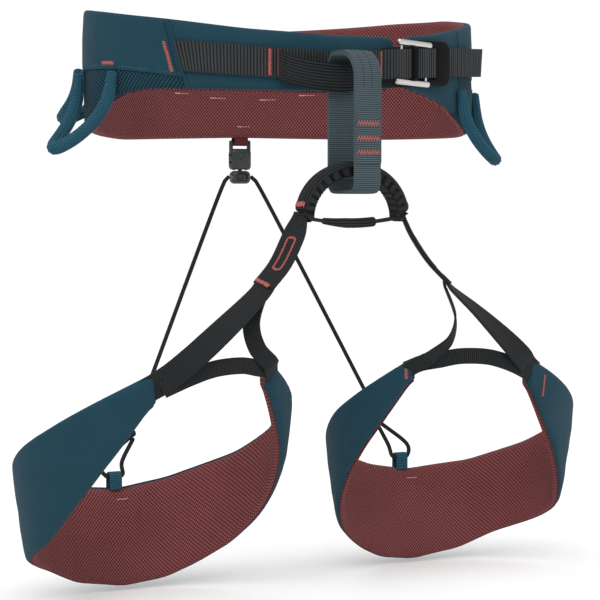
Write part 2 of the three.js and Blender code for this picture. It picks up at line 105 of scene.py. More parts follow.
def spline(points: Sequence[Vector], along: float) -> Vector:
    """A point on the smooth curve through the points, at a share of its way."""
    last = len(points) - 1
    spot = clamp(along) * last
    i = min(int(spot), last - 1)
    share = spot - i
    b, c = points[i], points[i + 1]
    a = points[i - 1] if i > 0 else b * 2 - c
    d = points[i + 2] if i + 2 <= last else c * 2 - b
    return 0.5 * (
        2 * b + (c - a) * share + (2 * a - 5 * b + 4 * c - d) * share**2 + (3 * b - a - 3 * c + d) * share**3
    )


def evenly(points: Sequence[Vector], count: int) -> list[Vector]:
    """The points of the smooth curve, an even distance apart.

    Args:
        points: the curve's own points.
        count: how many are wanted.
    Returns:
        The evenly spaced points, ends included.
    """
    fine = [spline(points, i / (count * 8)) for i in range(count * 8 + 1)]
    far = [0.0]
    for a, b in zip(fine, fine[1:]):
        far.append(far[-1] + (b - a).length)
    made, i = [], 0
    for n in range(count):
        goal = far[-1] * n / (count - 1)
        while i < len(far) - 2 and far[i + 1] < goal:
            i += 1
        span = max(far[i + 1] - far[i], 1e-9)
        made.append(fine[i].lerp(fine[i + 1], clamp((goal - far[i]) / span)))
    return made


def length_of(points: Sequence[Vector]) -> float:
    """The length of a line of points."""
    return sum((b - a).length for a, b in zip(points, points[1:]))


# ---------- shader patterns ----------
def tint(red: int, green: int, blue: int) -> tuple[float, float, float, float]:
    """A colour written 0 to 255 as the linear colour that a shader takes."""
    parts = []
    for value in (red, green, blue):
        share = value / 255
        parts.append(share / 12.92 if share <= 0.04045 else ((share + 0.055) / 1.055) ** 2.4)
    return (parts[0], parts[1], parts[2], 1.0)


class Graph:
    """Adds nodes to a shader tree, so that a pattern reads as a formula."""

    def __init__(self, tree: bpy.types.NodeTree) -> None:
        """Starts on an empty tree."""
        self.tree = tree

    def node(self, kind: str, **settings: object) -> bpy.types.Node:
        """Adds a node and sets its properties."""
        made = self.tree.nodes.new(kind)
        for name, value in settings.items():
            setattr(made, name, value)
        return made

    def feed(self, socket: bpy.types.NodeSocket, value: object) -> None:
        """Links a socket to another, or sets its value."""
        if isinstance(value, bpy.types.NodeSocket):
            self.tree.links.new(value, socket)
        else:
            socket.default_value = value

    def math(self, operation: str, *values: object) -> bpy.types.NodeSocket:
        """One step of arithmetic."""
        made = self.node("ShaderNodeMath", operation=operation)
        for socket, value in zip(made.inputs, values):
            self.feed(socket, value)
        return made.outputs[0]

    def wave(self, place: object, pitch: object) -> bpy.types.NodeSocket:
        """A wave from 0 to 1 that repeats every pitch."""
        turns = self.math("MULTIPLY", self.math("DIVIDE", place, pitch), TURN)
        return self.math("MULTIPLY_ADD", self.math("COSINE", turns), 0.5, 0.5)

    def blend(self, share: object, low: object, high: object) -> bpy.types.NodeSocket:
        """A colour a share of the way between two."""
        made = self.node("ShaderNodeMix", data_type="RGBA")
        for index, value in ((0, share), (6, low), (7, high)):
            self.feed(made.inputs[index], value)
        return made.outputs[2]

    def use(self, effect: "Effect", **values: object) -> bpy.types.Node:
        """Places an effect's group, with its inputs fed by name."""
        made = self.node("ShaderNodeGroup", node_tree=effect.tree())
        for name, value in values.items():
            self.feed(made.inputs[name], value)
        return made


@dataclass(frozen=True)
class Effect:
    """A shader node group that several finishes share: number inputs, number outputs."""

    name: str
    inputs: tuple[str, ...]
    outputs: tuple[str, ...]
    formula: Callable[[Graph, dict], tuple]

    def tree(self) -> bpy.types.NodeTree:
        """The group's tree, built the first time it is asked for."""
        found = bpy.data.node_groups.get(self.name)
        if found:
            return found
        tree = bpy.data.node_groups.new(self.name, "ShaderNodeTree")
        for name in self.inputs:
            kind = "NodeSocketVector" if name == "Place" else "NodeSocketFloat"
            tree.interface.new_socket(name, in_out="INPUT", socket_type=kind)
        for name in self.outputs:
            tree.interface.new_socket(name, in_out="OUTPUT", socket_type="NodeSocketFloat")
        graph = Graph(tree)
        start, end = graph.node("NodeGroupInput"), graph.node("NodeGroupOutput")
        made = self.formula(graph, {name: start.outputs[name] for name in self.inputs})
        for name, value in zip(self.outputs, made):
            graph.feed(end.inputs[name], value)
        return tree


def twill_formula(g: Graph, at: dict) -> tuple:
    """Diagonal ridges of a twill, cut by the threads that cross them."""
    down = g.math("ADD", at["Along"], g.math("MULTIPLY", at["Across"], 0.8))
    ridge = g.wave(down, at["Pitch"])
    over = g.math("SUBTRACT", at["Along"], g.math("MULTIPLY", at["Across"], 1.3))
    thread = g.wave(over, g.math("MULTIPLY", at["Pitch"], 0.55))
    return (g.math("MULTIPLY_ADD", thread, 0.35, g.math("MULTIPLY", ridge, 0.65)),)


def lattice_formula(g: Graph, at: dict) -> tuple:
    """A lattice of holes set in diamonds, with a raised knot between them."""
    turns = g.math("MULTIPLY", g.math("DIVIDE", at["Along"], at["Pitch"]), TURN)
    rows = g.math("MULTIPLY", g.math("DIVIDE", at["Across"], g.math("MULTIPLY", at["Pitch"], 1.15)), TURN)
    cells = g.math("MULTIPLY", g.math("COSINE", turns), g.math("COSINE", rows))
    height = g.math("MULTIPLY_ADD", cells, 0.5, 0.5)
    hole = g.math("SMOOTH_MAX", g.math("SUBTRACT", at["Hole"], height), 0.0, 0.05)
    open_part = g.math("MINIMUM", g.math("DIVIDE", hole, at["Hole"]), 1.0)
    return height, open_part


def rib_formula(g: Graph, at: dict) -> tuple:
    """Ribs across a webbing, with the fine threads that lie on them."""
    rib = g.math("POWER", g.wave(at["Along"], at["Pitch"]), 0.7)
    thread = g.wave(at["Across"], at["Thread"])
    broken = g.wave(g.math("ADD", at["Along"], at["Across"]), g.math("MULTIPLY", at["Thread"], 1.7))
    fine = g.math("MULTIPLY", thread, broken)
    return rib, g.math("MULTIPLY_ADD", fine, 0.3, g.math("MULTIPLY", rib, 0.7))


def drift_formula(g: Graph, at: dict) -> tuple:
    """Slow changes of shade over a surface, and the fine speckle of its fibres."""
    broad = g.node("ShaderNodeTexNoise")
    g.feed(broad.inputs["Vector"], at["Place"])
    g.feed(broad.inputs["Scale"], at["Scale"])
    broad.inputs["Detail"].default_value = 4
    fine = g.node("ShaderNodeTexNoise")
    g.feed(fine.inputs["Vector"], at["Place"])
    g.feed(fine.inputs["Scale"], g.math("MULTIPLY", at["Scale"], 45.0))
    fine.inputs["Detail"].default_value = 2
    centred = g.math("SUBTRACT", broad.outputs[0], 0.5)
    speck = g.math("MULTIPLY", g.math("SUBTRACT", fine.outputs[0], 0.5), 0.6)
    return g.math("MULTIPLY_ADD", g.math("ADD", centred, speck), at["Amount"], 1.0), fine.outputs[0]


TWILL = Effect("twill", ("Along", "Across", "Pitch"), ("Relief",), twill_formula)
LATTICE = Effect("lattice", ("Along", "Across", "Pitch", "Hole"), ("Relief", "Open"), lattice_formula)
RIBS = Effect("ribs", ("Along", "Across", "Pitch", "Thread"), ("Rib", "Relief"), rib_formula)
DRIFT = Effect("drift", ("Place", "Scale", "Amount"), ("Shade", "Speck"), drift_formula)


# ---------- finishes ----------
@dataclass(frozen=True)
class Finish:
    """What every finish has: its name, a slot word that is not used, and its two colours."""

    name: str
    slot: str
    dark: tuple
    light: tuple
    rough: float = 0.85
    drift: float = 0.35
    gloss: float = 0.1

    def material(self) -> bpy.types.Material:
        """The finish's material, built the first time it is asked for."""
        name = "finish_" + self.name
        found = bpy.data.materials.get(name)
        if found:
            return found
        made = bpy.data.materials.new(name)
        made.use_nodes = True
        made.node_tree.nodes.clear()
        graph = Graph(made.node_tree)
        shader = graph.node("ShaderNodeBsdfPrincipled")
        end = graph.node("ShaderNodeOutputMaterial")
        graph.feed(end.inputs["Surface"], shader.outputs[0])
        shader.inputs["Roughness"].default_value = self.rough
        shader.inputs["Specular IOR Level"].default_value = self.gloss
        self.paint(graph, shader)
        return made

    def paint(self, g: Graph, shader: bpy.types.Node) -> None:
        """Lays the pattern on the shader. Each kind of finish has its own."""
        raise NotImplementedError

    def surface(self, g: Graph) -> tuple:
        """The distances along and across the piece's own cloth, in metres."""
        parts = g.node("ShaderNodeSeparateXYZ")
        g.feed(parts.inputs[0], g.node("ShaderNodeUVMap", uv_map="UVMap").outputs[0])
        return parts.outputs[0], parts.outputs[1]

    def colour(self, g: Graph, shader: bpy.types.Node, share: object, scale: float = 22.0) -> object:
        """Feeds the colour between dark and light, with the drift over it, and returns the speckle."""
        place = g.node("ShaderNodeTexCoord").outputs["Object"]
        slow = g.use(DRIFT, Place=place, Scale=scale, Amount=self.drift)
        spread = g.math("MULTIPLY", share, slow.outputs["Shade"])
        g.feed(shader.inputs["Base Color"], g.blend(g.math("MINIMUM", spread, 1.0), self.dark, self.light))
        return slow.outputs["Speck"]

    def bump(self, g: Graph, shader: bpy.types.Node, height: object, depth: float) -> None:
        """Feeds the shader's normal with a height whose full range is depth, in metres."""
        made = g.node("ShaderNodeBump")
        made.inputs["Strength"].default_value = 1.0
        made.inputs["Distance"].default_value = depth
        g.feed(made.inputs["Height"], height)
        g.feed(shader.inputs["Normal"], made.outputs[0])


@dataclass(frozen=True)
class TwillCloth(Finish):
    """Woven shell cloth with a fine diagonal."""

    pitch: float = 1.7 * MM
    depth: float = 0.2 * MM
    sheen: float = 0.05

    def paint(self, g: Graph, shader: bpy.types.Node) -> None:
        """Twill ridges in relief, and in colour as painted light on the ridges and painted shade between
        them, with a little sheen.
        """
        along, across = self.surface(g)
        weave = g.use(TWILL, Along=along, Across=across, Pitch=self.pitch).outputs[0]
        # the colour share follows the weave's relief: painted light on raised threads, painted shade in the
        # grooves
        speck = self.colour(g, shader, g.math("MULTIPLY_ADD", weave, 0.75, 0.15))
        self.bump(g, shader, g.math("MULTIPLY_ADD", speck, 0.25, weave), self.depth)
        shader.inputs["Sheen Weight"].default_value = self.sheen
        shader.inputs["Sheen Roughness"].default_value = 0.5


@dataclass(frozen=True)
class Openwork(Finish):
    """Knitted mesh: holes in diamonds between knots; the holes are dark with painted shade and the raised
    knots lighter with painted light.
    """

    pitch: float = 2.5 * MM
    hole: float = 0.45
    depth: float = 0.5 * MM
    # deep: the colour of the holes, painted shade
    deep: tuple = (0.0, 0.0, 0.0, 1.0)

    def paint(self, g: Graph, shader: bpy.types.Node) -> None:
        """The lattice in relief, and in colour as painted light on the raised knots and painted shade in the
        holes.
        """
        along, across = self.surface(g)
        made = g.use(LATTICE, Along=along, Across=across, Pitch=self.pitch, Hole=self.hole)
        relief, hole = made.outputs["Relief"], made.outputs["Open"]
        # the colour share follows the relief: painted light on the raised knots
        self.colour(g, shader, g.math("MULTIPLY_ADD", relief, 0.75, 0.1))
        bright = shader.inputs["Base Color"].links[0].from_socket
        # the holes are painted in the deep colour: painted shade
        g.feed(shader.inputs["Base Color"], g.blend(hole, bright, self.deep))
        self.bump(g, shader, relief, self.depth)
        shader.inputs["Sheen Weight"].default_value = 0.03


@dataclass(frozen=True)
class RibbedWebbing(Finish):
    """Woven tape with ribs across it."""

    pitch: float = 2.3 * MM
    thread: float = 0.9 * MM
    depth: float = 0.3 * MM
    lengthwise: bool = False

    def paint(self, g: Graph, shader: bpy.types.Node) -> None:
        """The ribs and their threads in relief, and in colour as painted light on the raised ribs and painted
        shade between them.
        """
        along, across = self.surface(g)
        if self.lengthwise:
            along, across = across, along
        made = g.use(RIBS, Along=along, Across=across, Pitch=self.pitch, Thread=self.thread)
        relief = made.outputs["Relief"]
        # the colour share is the relief: painted light on raised ribs and threads, painted shade between them
        self.colour(g, shader, relief, 30.0)
        self.bump(g, shader, relief, self.depth)
        shader.inputs["Sheen Weight"].default_value = 0.03


@dataclass(frozen=True)
class Thread(Finish):
    """Twisted sewing thread."""

    def paint(self, g: Graph, shader: bpy.types.Node) -> None:
        """A speckled thread colour."""
        speck = self.colour(g, shader, 0.6, 160.0)
        self.bump(g, shader, speck, 0.1 * MM)
        shader.inputs["Sheen Weight"].default_value = 0.05


@dataclass(frozen=True)
class Hard(Finish):
    """Metal or moulded plastic with fine scratches or grain."""

    metal: float = 0.0
    coat: float = 0.0
    grain: float = 0.04 * MM

    def paint(self, g: Graph, shader: bpy.types.Node) -> None:
        """A worn, slightly uneven surface, rougher where the speckle is high."""
        speck = self.colour(g, shader, 0.55, 60.0)
        rough = g.math("MULTIPLY_ADD", speck, 0.25, self.rough - 0.1)
        g.feed(shader.inputs["Roughness"], rough)
        self.bump(g, shader, speck, self.grain)
        shader.inputs["Metallic"].default_value = self.metal
        shader.inputs["Coat Weight"].default_value = self.coat


# In the twill, lattice and rib finishes, dark and light are one cloth in painted shade and painted light: the
# colour follows the relief.
SHELL = TwillCloth("shell_twill", "shell_cloth", tint(5, 20, 27), tint(40, 81, 97))
# deep is painted shade in the mesh holes.
OPEN_MESH = Openwork(
    "side_mesh", "open_mesh", tint(10, 28, 36), tint(38, 78, 94), deep=tint(3, 6, 8), pitch=2.6 * MM, hole=0.6
)
# The lining's drift of 0.5 is random tone, made stronger to stand in for the light and shade over its folds:
# partly painted shade.
LINING = Openwork(
    "lining_mesh", "spacer_mesh", tint(58, 24, 26), tint(152, 86, 87), drift=0.5, deep=tint(34, 12, 14)
)
BLACK_WEBBING = RibbedWebbing("belt_ribs", "black_webbing", tint(3, 3, 4), tint(68, 70, 72))
LEG_WEBBING = RibbedWebbing(
    "strap_ribs", "black_webbing", tint(4, 4, 5), tint(50, 53, 55), pitch=1.5 * MM, depth=0.15 * MM
)
SLEEVE_WEBBING = RibbedWebbing(
    "sleeve_ribs", "black_webbing", tint(4, 4, 5), tint(50, 53, 55), pitch=2.1 * MM, thread=1.0 * MM,
    lengthwise=True
)
GREY_WEBBING = RibbedWebbing(
    "loop_ribs", "grey_webbing", tint(28, 38, 42), tint(86, 101, 107), pitch=1.4 * MM, depth=0.14 * MM
)
LOOP_SLEEVE = RibbedWebbing(
    "gear_ribs", "shell_cloth", tint(8, 28, 38), tint(48, 98, 118), pitch=1.2 * MM, thread=1.5 * MM,
    depth=0.12 * MM
)
RED_TAPE = RibbedWebbing("red_tape", "binding", tint(50, 20, 22), tint(110, 52, 54), pitch=1.4 * MM)
RED_THREAD = Thread("red_thread", "binding", tint(110, 44, 42), tint(206, 116, 110))
PALE_THREAD = Thread("pale_thread", "binding", tint(160, 90, 88), tint(236, 180, 172))
DARK_THREAD = Thread("dark_thread", "black_webbing", tint(3, 5, 7), tint(14, 26, 32))
BRIGHT_THREAD = Thread("teal_thread", "shell_cloth", tint(24, 60, 74), tint(72, 124, 144))
CORD = RibbedWebbing(
    "braided_cord", "elastic_cord", tint(3, 3, 3), tint(50, 54, 56), pitch=1.2 * MM, thread=1.6 * MM
)
STEEL = Hard(
    "polished_steel", "steel", tint(120, 118, 114), tint(240, 238, 234), rough=0.24, drift=0.2, gloss=0.5,
    metal=1.0
)
BLACK_METAL = Hard("dark_metal", "black_metal", tint(1, 1, 1), tint(5, 5, 6), rough=0.34, gloss=0.08)
# The plastic's light colour is raised toward the grey-blue of its highlights: partly painted highlight over
# the plastic's own black.
BLACK_PLASTIC = Hard("dark_plastic", "black_plastic", tint(8, 9, 10), tint(50, 56, 60), rough=0.34, gloss=0.5)


# ---------- what a piece moves with ----------
@dataclass(frozen=True)
class Motion:
    """One body that a piece rides on, or two bodies that it lies between."""

    body: str
    other: Optional[str] = None
    start: tuple[float, float, float] = (0.0, 0.0, 0.0)
    end: tuple[float, float, float] = (0.0, 0.0, 0.0)

    def apply(self, piece: Obj) -> None:
        """Fixes the finished piece to its one body; a piece between two bodies is only baked in place and
        fixed to neither. Start and end are in millimetres.
        """
        if self.other is None:
            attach(piece, self.body)
            return
        start = [value * MM for value in self.start]
        end = [value * MM for value in self.end]
        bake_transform(piece)


BELT = Motion("waist_belt")


def dress(piece: Obj, finish: Finish, motion: Motion, *nodes: str) -> Obj:
    """Gives a finished piece its material, the nodes it stands for and its motion.

    Args:
        piece: the finished mesh.
        finish: its finish.
        motion: what it moves with.
        nodes: the CAD nodes that it replaces.
    Returns:
        The same piece.
    """
    piece.data.materials.clear()
    piece.data.materials.append(finish.material())
    if nodes:
        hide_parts(*nodes)
    motion.apply(piece)
    log.info("%s: %d faces, %s", piece.name, len(piece.data.polygons), finish.name)
    return piece


# ---------- making meshes ----------
def deselect() -> None:
    """Leaves object mode with nothing selected."""
    if bpy.context.object and bpy.context.object.mode != "OBJECT":
        bpy.ops.object.mode_set(mode="OBJECT")
    bpy.ops.object.select_all(action="DESELECT")


def pick(piece: Obj) -> Obj:
    """Makes a piece the only one selected."""
    deselect()
    piece.select_set(True)
    bpy.context.view_layer.objects.active = piece
    return piece


def apply_modifier(piece: Obj, kind: str, **settings: object) -> None:
    """Adds a modifier, sets it and applies it."""
    pick(piece)
    made = piece.modifiers.new(kind.lower(), kind)
    for name, value in settings.items():
        setattr(made, name, value)
    bpy.ops.object.modifier_apply(modifier=made.name)


def smooth(piece: Obj, degrees: float = 40.0) -> None:
    """Shades a piece smooth, except over edges sharper than this."""
    pick(piece)
    bpy.ops.object.shade_smooth_by_angle(angle=math.radians(degrees))


def tidy(piece: Obj, within: float = 0.00001) -> None:
    """Merges points that coincide and turns the faces outward."""
    pick(piece)
    bpy.ops.object.mode_set(mode="EDIT")
    bpy.ops.mesh.select_all(action="SELECT")
    bpy.ops.mesh.remove_doubles(threshold=within)
    bpy.ops.mesh.normals_make_consistent(inside=False)
    bpy.ops.object.mode_set(mode="OBJECT")


def woven(
    name: str, place: Place, steps: tuple[int, int], thickness: float, rounding: float = 0.0,
    joined: bool = False
) -> Obj:
    """Makes a sheet of cloth or webbing by laying a grid along a place function.

    Args:
        name: the piece's name.
        place: the point at a share along, a share across and a lift outward in mm.
        steps: how many cells the grid has along and across.
        thickness: the cloth's thickness in mm, laid inward of the place function.
        rounding: the radius of its edges in mm.
        joined: whether its two ends meet.
    Returns:
        The closed mesh, with its own distances in metres as UVs.
    """
    deselect()
    bpy.ops.mesh.primitive_grid_add(x_subdivisions=steps[0], y_subdivisions=steps[1], size=1)
    piece = bpy.context.object
    piece.name = piece.data.name = name
    mesh = piece.data
    cells = [(round((v.co.x + 0.5) * steps[0]), round((v.co.y + 0.5) * steps[1])) for v in mesh.vertices]
    spots = {cell: place(cell[0] / steps[0], cell[1] / steps[1], 0.0) for cell in cells}
    middle = steps[1] // 2
    far, wide = [0.0], {}
    for i in range(steps[0]):
        far.append(far[-1] + (spots[(i + 1, middle)] - spots[(i, middle)]).length)
    for i in range(steps[0] + 1):
        run = [0.0]
        for j in range(steps[1]):
            run.append(run[-1] + (spots[(i, j + 1)] - spots[(i, j)]).length)
        for j in range(steps[1] + 1):
            wide[(i, j)] = run[j] - run[middle]
    for vertex, cell in zip(mesh.vertices, cells):
        vertex.co = spots[cell]
    layer = mesh.uv_layers[0]
    layer.name = "UVMap"
    for loop in mesh.loops:
        cell = cells[loop.vertex_index]
        layer.data[loop.index].uv = (far[cell[0]], wide[cell])
    mesh.update()
    centre = mesh.polygons[len(mesh.polygons) // 2]
    share = cells[centre.vertices[0]]
    out = place(share[0] / steps[0], share[1] / steps[1], 1.0) - spots[share]
    if centre.normal.dot(out) < 0:
        mesh.flip_normals()
    if joined:
        pick(piece)
        bpy.ops.object.mode_set(mode="EDIT")
        bpy.ops.mesh.select_all(action="SELECT")
        bpy.ops.mesh.remove_doubles(threshold=0.00002)
        bpy.ops.object.mode_set(mode="OBJECT")
    apply_modifier(piece, "SOLIDIFY", thickness=thickness * MM, offset=-1.0)
    if rounding:
        apply_modifier(
            piece,
            "BEVEL",
            width=rounding * MM,
            segments=2,
            limit_method="ANGLE",
            angle_limit=math.radians(50),
            use_clamp_overlap=True,
        )
    smooth(piece, 50.0)
    return piece


def loft(name: str, rings: Sequence[Sequence[Vector]], fan: bool = True) -> Obj:
    """Makes a closed skin over rings of points, with its distances in metres as UVs.

    Args:
        name: the piece's name.
        rings: rings with the same number of points each.
        fan: whether the first and last ring are closed by a face.
    Returns:
        The mesh, with its faces outward.
    """
    count = len(rings[0])
    points = [point for ring in rings for point in ring]
    faces, uvs = [], []
    run = [[0.0] for _ in rings]
    for row, ring in zip(run, rings):
        for j in range(count):
            row.append(row[-1] + (ring[(j + 1) % count] - ring[j]).length)
    far = [0.0]
    for a, b in zip(rings, rings[1:]):
        step = sum(((q - p).length for p, q in zip(a, b)), 0.0) / count
        far.append(far[-1] + step)
    for i in range(len(rings) - 1):
        for j in range(count):
            k = (j + 1) % count
            faces.append((i * count + j, (i + 1) * count + j, (i + 1) * count + k, i * count + k))
            corners = ((i, j), (i + 1, j), (i + 1, j + 1), (i, j + 1))
            uvs.extend((far[a], run[a][b]) for a, b in corners)
    if fan:
        for i, order in ((0, range(count)), (len(rings) - 1, range(count - 1, -1, -1))):
            faces.append(tuple(i * count + j for j in order))
            uvs.extend((far[i], run[i][j]) for j in order)
    mesh = bpy.data.meshes.new(name)
    mesh.from_pydata(points, [], faces)
    layer = mesh.uv_layers.new(name="UVMap")
    for spot, uv in zip(layer.data, uvs):
        spot.uv = uv
    piece = bpy.data.objects.new(name, mesh)
    bpy.context.scene.collection.objects.link(piece)
    tidy(piece)
    smooth(piece, 60.0)
    return piece


Section = Callable[[float, float], tuple[float, float]]


def frames_along(line: Sequence[Vector], up: Vector) -> list[tuple[Vector, Vector, Vector]]:
    """Frames carried along a line of points without twisting.

    Args:
        line: the points.
        up: the direction that the first frame's up is nearest to.
    Returns:
        A (centre, aside, up) for each point.
    """
    made, last = [], len(line) - 1
    for i, centre in enumerate(line):
        ahead = (line[min(i + 1, last)] - line[max(i - 1, 0)]).normalized()
        up = (up - ahead * up.dot(ahead)).normalized()
        made.append((centre, ahead.cross(up), up))
    return made


def on_tube(line: Sequence[Vector], section: Section, up: Vector) -> Place:
    """A tube's surface as a place to sew on: share along, share of a turn round, lift in mm."""
    frames = frames_along(line, up)

    def place(s: float, t: float, lift: float) -> Vector:
        """A point on the tube."""
        spot = clamp(s) * (len(frames) - 1)
        i = min(int(spot), len(frames) - 2)
        centre, aside, above = (p.lerp(q, spot - i) for p, q in zip(frames[i], frames[i + 1]))
        a, b = section(s, TURN * t)
        grow = 1 + lift / max(math.hypot(a, b), 0.1)
        return centre + (aside * a + above * b) * grow * MM

    return place


def tube(
    name: str, line: Sequence[Vector], section: Section, sides: int, up: Vector = Vector((0.0, 1.0, 0.0))
) -> Obj:
    """Makes a closed tube with domed ends along a line of points.

    Args:
        name: the piece's name.
        line: the tube's centres, in metres.
        section: the offsets in mm, sideways and upward, at a share along and an angle round.
        sides: how many points go round.
        up: the direction that the section's upward offset is nearest to at the start.
    Returns:
        The mesh.
    """
    rings, last = [], len(line) - 1
    for i, (centre, aside, above) in enumerate(frames_along(line, up)):
        offsets = (section(i / last, TURN * j / sides) for j in range(sides))
        rings.append([centre + (aside * a + above * b) * MM for a, b in offsets])
    return loft(name, domed(rings, line))


def domed(rings: list[list[Vector]], line: Sequence[Vector]) -> list[list[Vector]]:
    """The rings with a shrinking ring or two added at each end, which makes a dome."""
    made = []
    for ring, centre, inner in ((rings[0], line[0], line[1]), (rings[-1], line[-1], line[-2])):
        out = (centre - inner).normalized()
        reach = sum((p - centre).length for p in ring) / len(ring)
        cap = []
        for turn in (80, 55, 28):
            shrink, push = math.cos(math.radians(turn)), math.sin(math.radians(turn))
            cap.append([centre + (p - centre) * shrink + out * reach * push * 0.6 for p in ring])
        made.append(cap)
    return made[0] + rings + made[1][::-1]


def round_section(diameter: float) -> Section:
    """A circle of this diameter, in mm."""
    return lambda share, turn: (math.cos(turn) * diameter / 2, math.sin(turn) * diameter / 2)


def block(
    name: str, size: Sequence[float], middle: Sequence[float], rounding: float, segments: int = 3
) -> Obj:
    """A block with rounded edges, in mm, made from a cube that is scaled and bevelled."""
    deselect()
    bpy.ops.mesh.primitive_cube_add(size=1, location=[value * MM for value in middle])
    piece = bpy.context.object
    piece.name = piece.data.name = name
    piece.scale = [value * MM for value in size]
    bpy.ops.object.transform_apply(location=True, rotation=True, scale=True)
    if rounding:
        apply_modifier(piece, "BEVEL", width=rounding * MM, segments=segments, limit_method="ANGLE")
    return piece


def rod(name: str, radius: float, length: float, middle: Sequence[float], axis: str, sides: int = 20) -> Obj:
    """A round rod with softened ends, in mm, made from a cylinder that is turned and bevelled."""
    deselect()
    turns = {"X": (0, math.pi / 2, 0), "Y": (math.pi / 2, 0, 0), "Z": (0, 0, 0)}
    bpy.ops.mesh.primitive_cylinder_add(
        vertices=sides,
        radius=radius * MM,
        depth=length * MM,
        location=[value * MM for value in middle],
        rotation=turns[axis],
    )
    piece = bpy.context.object
    piece.name = piece.data.name = name
    bpy.ops.object.transform_apply(location=True, rotation=True, scale=True)
    apply_modifier(piece, "BEVEL", width=radius * 0.45 * MM, segments=3, limit_method="ANGLE")
    return piece


def combine(piece: Obj, other: Obj, operation: str) -> Obj:
    """Cuts or joins two solids and removes the second."""
    apply_modifier(piece, "BOOLEAN", object=other, operation=operation, solver="EXACT")
    bpy.data.objects.remove(other)
    return piece


# ---------- sewing ----------
@dataclass(frozen=True)
class Stitch:
    """One visible length of thread: its middle, its direction, the surface's normal and its size in mm."""

    middle: Vector
    ahead: Vector
    out: Vector
    length: float
    thick: float


class Sewing:
    """Lays threads on the harness. One thread is modelled and copied along each seam."""

    def __init__(self, seed: int) -> None:
        """Models the one thread, from a sphere of few faces."""
        self.chance = random.Random(seed)
        deselect()
        bpy.ops.mesh.primitive_uv_sphere_add(segments=6, ring_count=4, radius=0.5)
        thread = bpy.context.object
        self.points = [vertex.co.copy() for vertex in thread.data.vertices]
        self.faces = [tuple(face.vertices) for face in thread.data.polygons]
        bpy.data.objects.remove(thread)

    def walk(
        self, place: Place, spots: Sequence[tuple[float, float]], pitch: float, lift: float
    ) -> list[tuple]:
        """Frames at even steps along a line drawn on a surface.

        Args:
            place: the surface.
            spots: the line's corners, as shares along and across.
            pitch: the distance between frames, in mm.
            lift: how far the line stands off the surface, in mm.
        Returns:
            A (point, direction, normal) for each frame.
        """
        fine = []
        for (s0, t0), (s1, t1) in zip(spots, spots[1:]):
            for i in range(12):
                fine.append((mix(s0, s1, i / 12), mix(t0, t1, i / 12)))
        fine.append(spots[-1])
        line = [place(s, t, lift) for s, t in fine]
        total = length_of(line) / MM
        count = max(2, round(total / pitch) + 1)
        frames, i, gone = [], 0, 0.0
        for n in range(count):
            goal = total * MM * n / (count - 1)
            while i < len(line) - 2 and gone + (line[i + 1] - line[i]).length < goal:
                gone += (line[i + 1] - line[i]).length
                i += 1
            step = line[i + 1] - line[i]
            share = clamp((goal - gone) / max(step.length, 1e-9))
            s, t = fine[i]
            out = (place(s, t, lift + 1.0) - place(s, t, lift)).normalized()
            frames.append((line[i] + step * share, step.normalized(), out))
        return frames

    def running(self, frames: list[tuple], length: float, thick: float) -> list[Stitch]:
        """A row of stitches that lie along their line."""
        return [Stitch(middle, ahead, out, length, thick) for middle, ahead, out in frames]

    def satin(self, frames: list[tuple], width: float, thick: float, slant: float = 0.18) -> list[Stitch]:
        """Close stitches that lie across their line, each a little uneven: a bar tack."""
        made = []
        for i, (middle, ahead, out) in enumerate(frames):
            across = ahead.cross(out)
            lean = (slant if i % 2 else -slant) + self.chance.uniform(-0.1, 0.1)
            turned = (across + ahead * lean).normalized()
            shift = across * self.chance.uniform(-0.06, 0.06) * width * MM
            made.append(Stitch(middle + shift, turned, out, width * self.chance.uniform(0.88, 1.08), thick))
        return made

    def lay(self, name: str, stitches: list[Stitch], finish: Finish, motion: Motion) -> Obj:
        """Makes one piece of all these stitches."""
        points, faces = [], []
        for stitch in stitches:
            aside = stitch.ahead.cross(stitch.out).normalized()
            turn = Matrix(
                (stitch.ahead * stitch.length, aside * stitch.thick, stitch.out * stitch.thick)
            ).transposed()
            start = len(points)
            for point in self.points:
                points.append(stitch.middle + turn @ Vector((point.z, point.y, point.x)) * MM)
            faces.extend(tuple(start + index for index in face) for face in self.faces)
        mesh = bpy.data.meshes.new(name)
        mesh.from_pydata(points, [], faces)
        piece = bpy.data.objects.new(name, mesh)
        bpy.context.scene.collection.objects.link(piece)
        tidy(piece)
        smooth(piece, 80.0)
        return dress(piece, finish, motion)


SEWING = Sewing(seed=7)


# ---------- ovals and padded bands ----------
@dataclass(frozen=True)
class Oval:
    """An oval round the waist or a thigh. Angle 0 is the front and +90 the side's own outside."""

    middle: tuple[float, float]
    half_width: float
    half_depth: float
    side: int = 1

    def point(self, angle: float, out: float, z: float) -> Vector:
        """A point standing out from the oval, written in mm and placed in metres."""
        turn = math.radians(angle)
        x = self.middle[0] + (self.half_width + out) * math.sin(turn)
        y = self.middle[1] - (self.half_depth + out) * math.cos(turn)
        return Vector((self.side * x, y, z)) * MM

    def speed(self, angle: float) -> float:
        """Millimetres along the oval for one degree."""
        turn = math.radians(angle)
        return math.radians(math.hypot(self.half_width * math.cos(turn), self.half_depth * math.sin(turn)))


class Rolled(Enum):
    """Which edges of a cover are rolled round the pad."""

    BOTH = (True, True)
    TOP = (False, True)
    BOTTOM = (True, False)


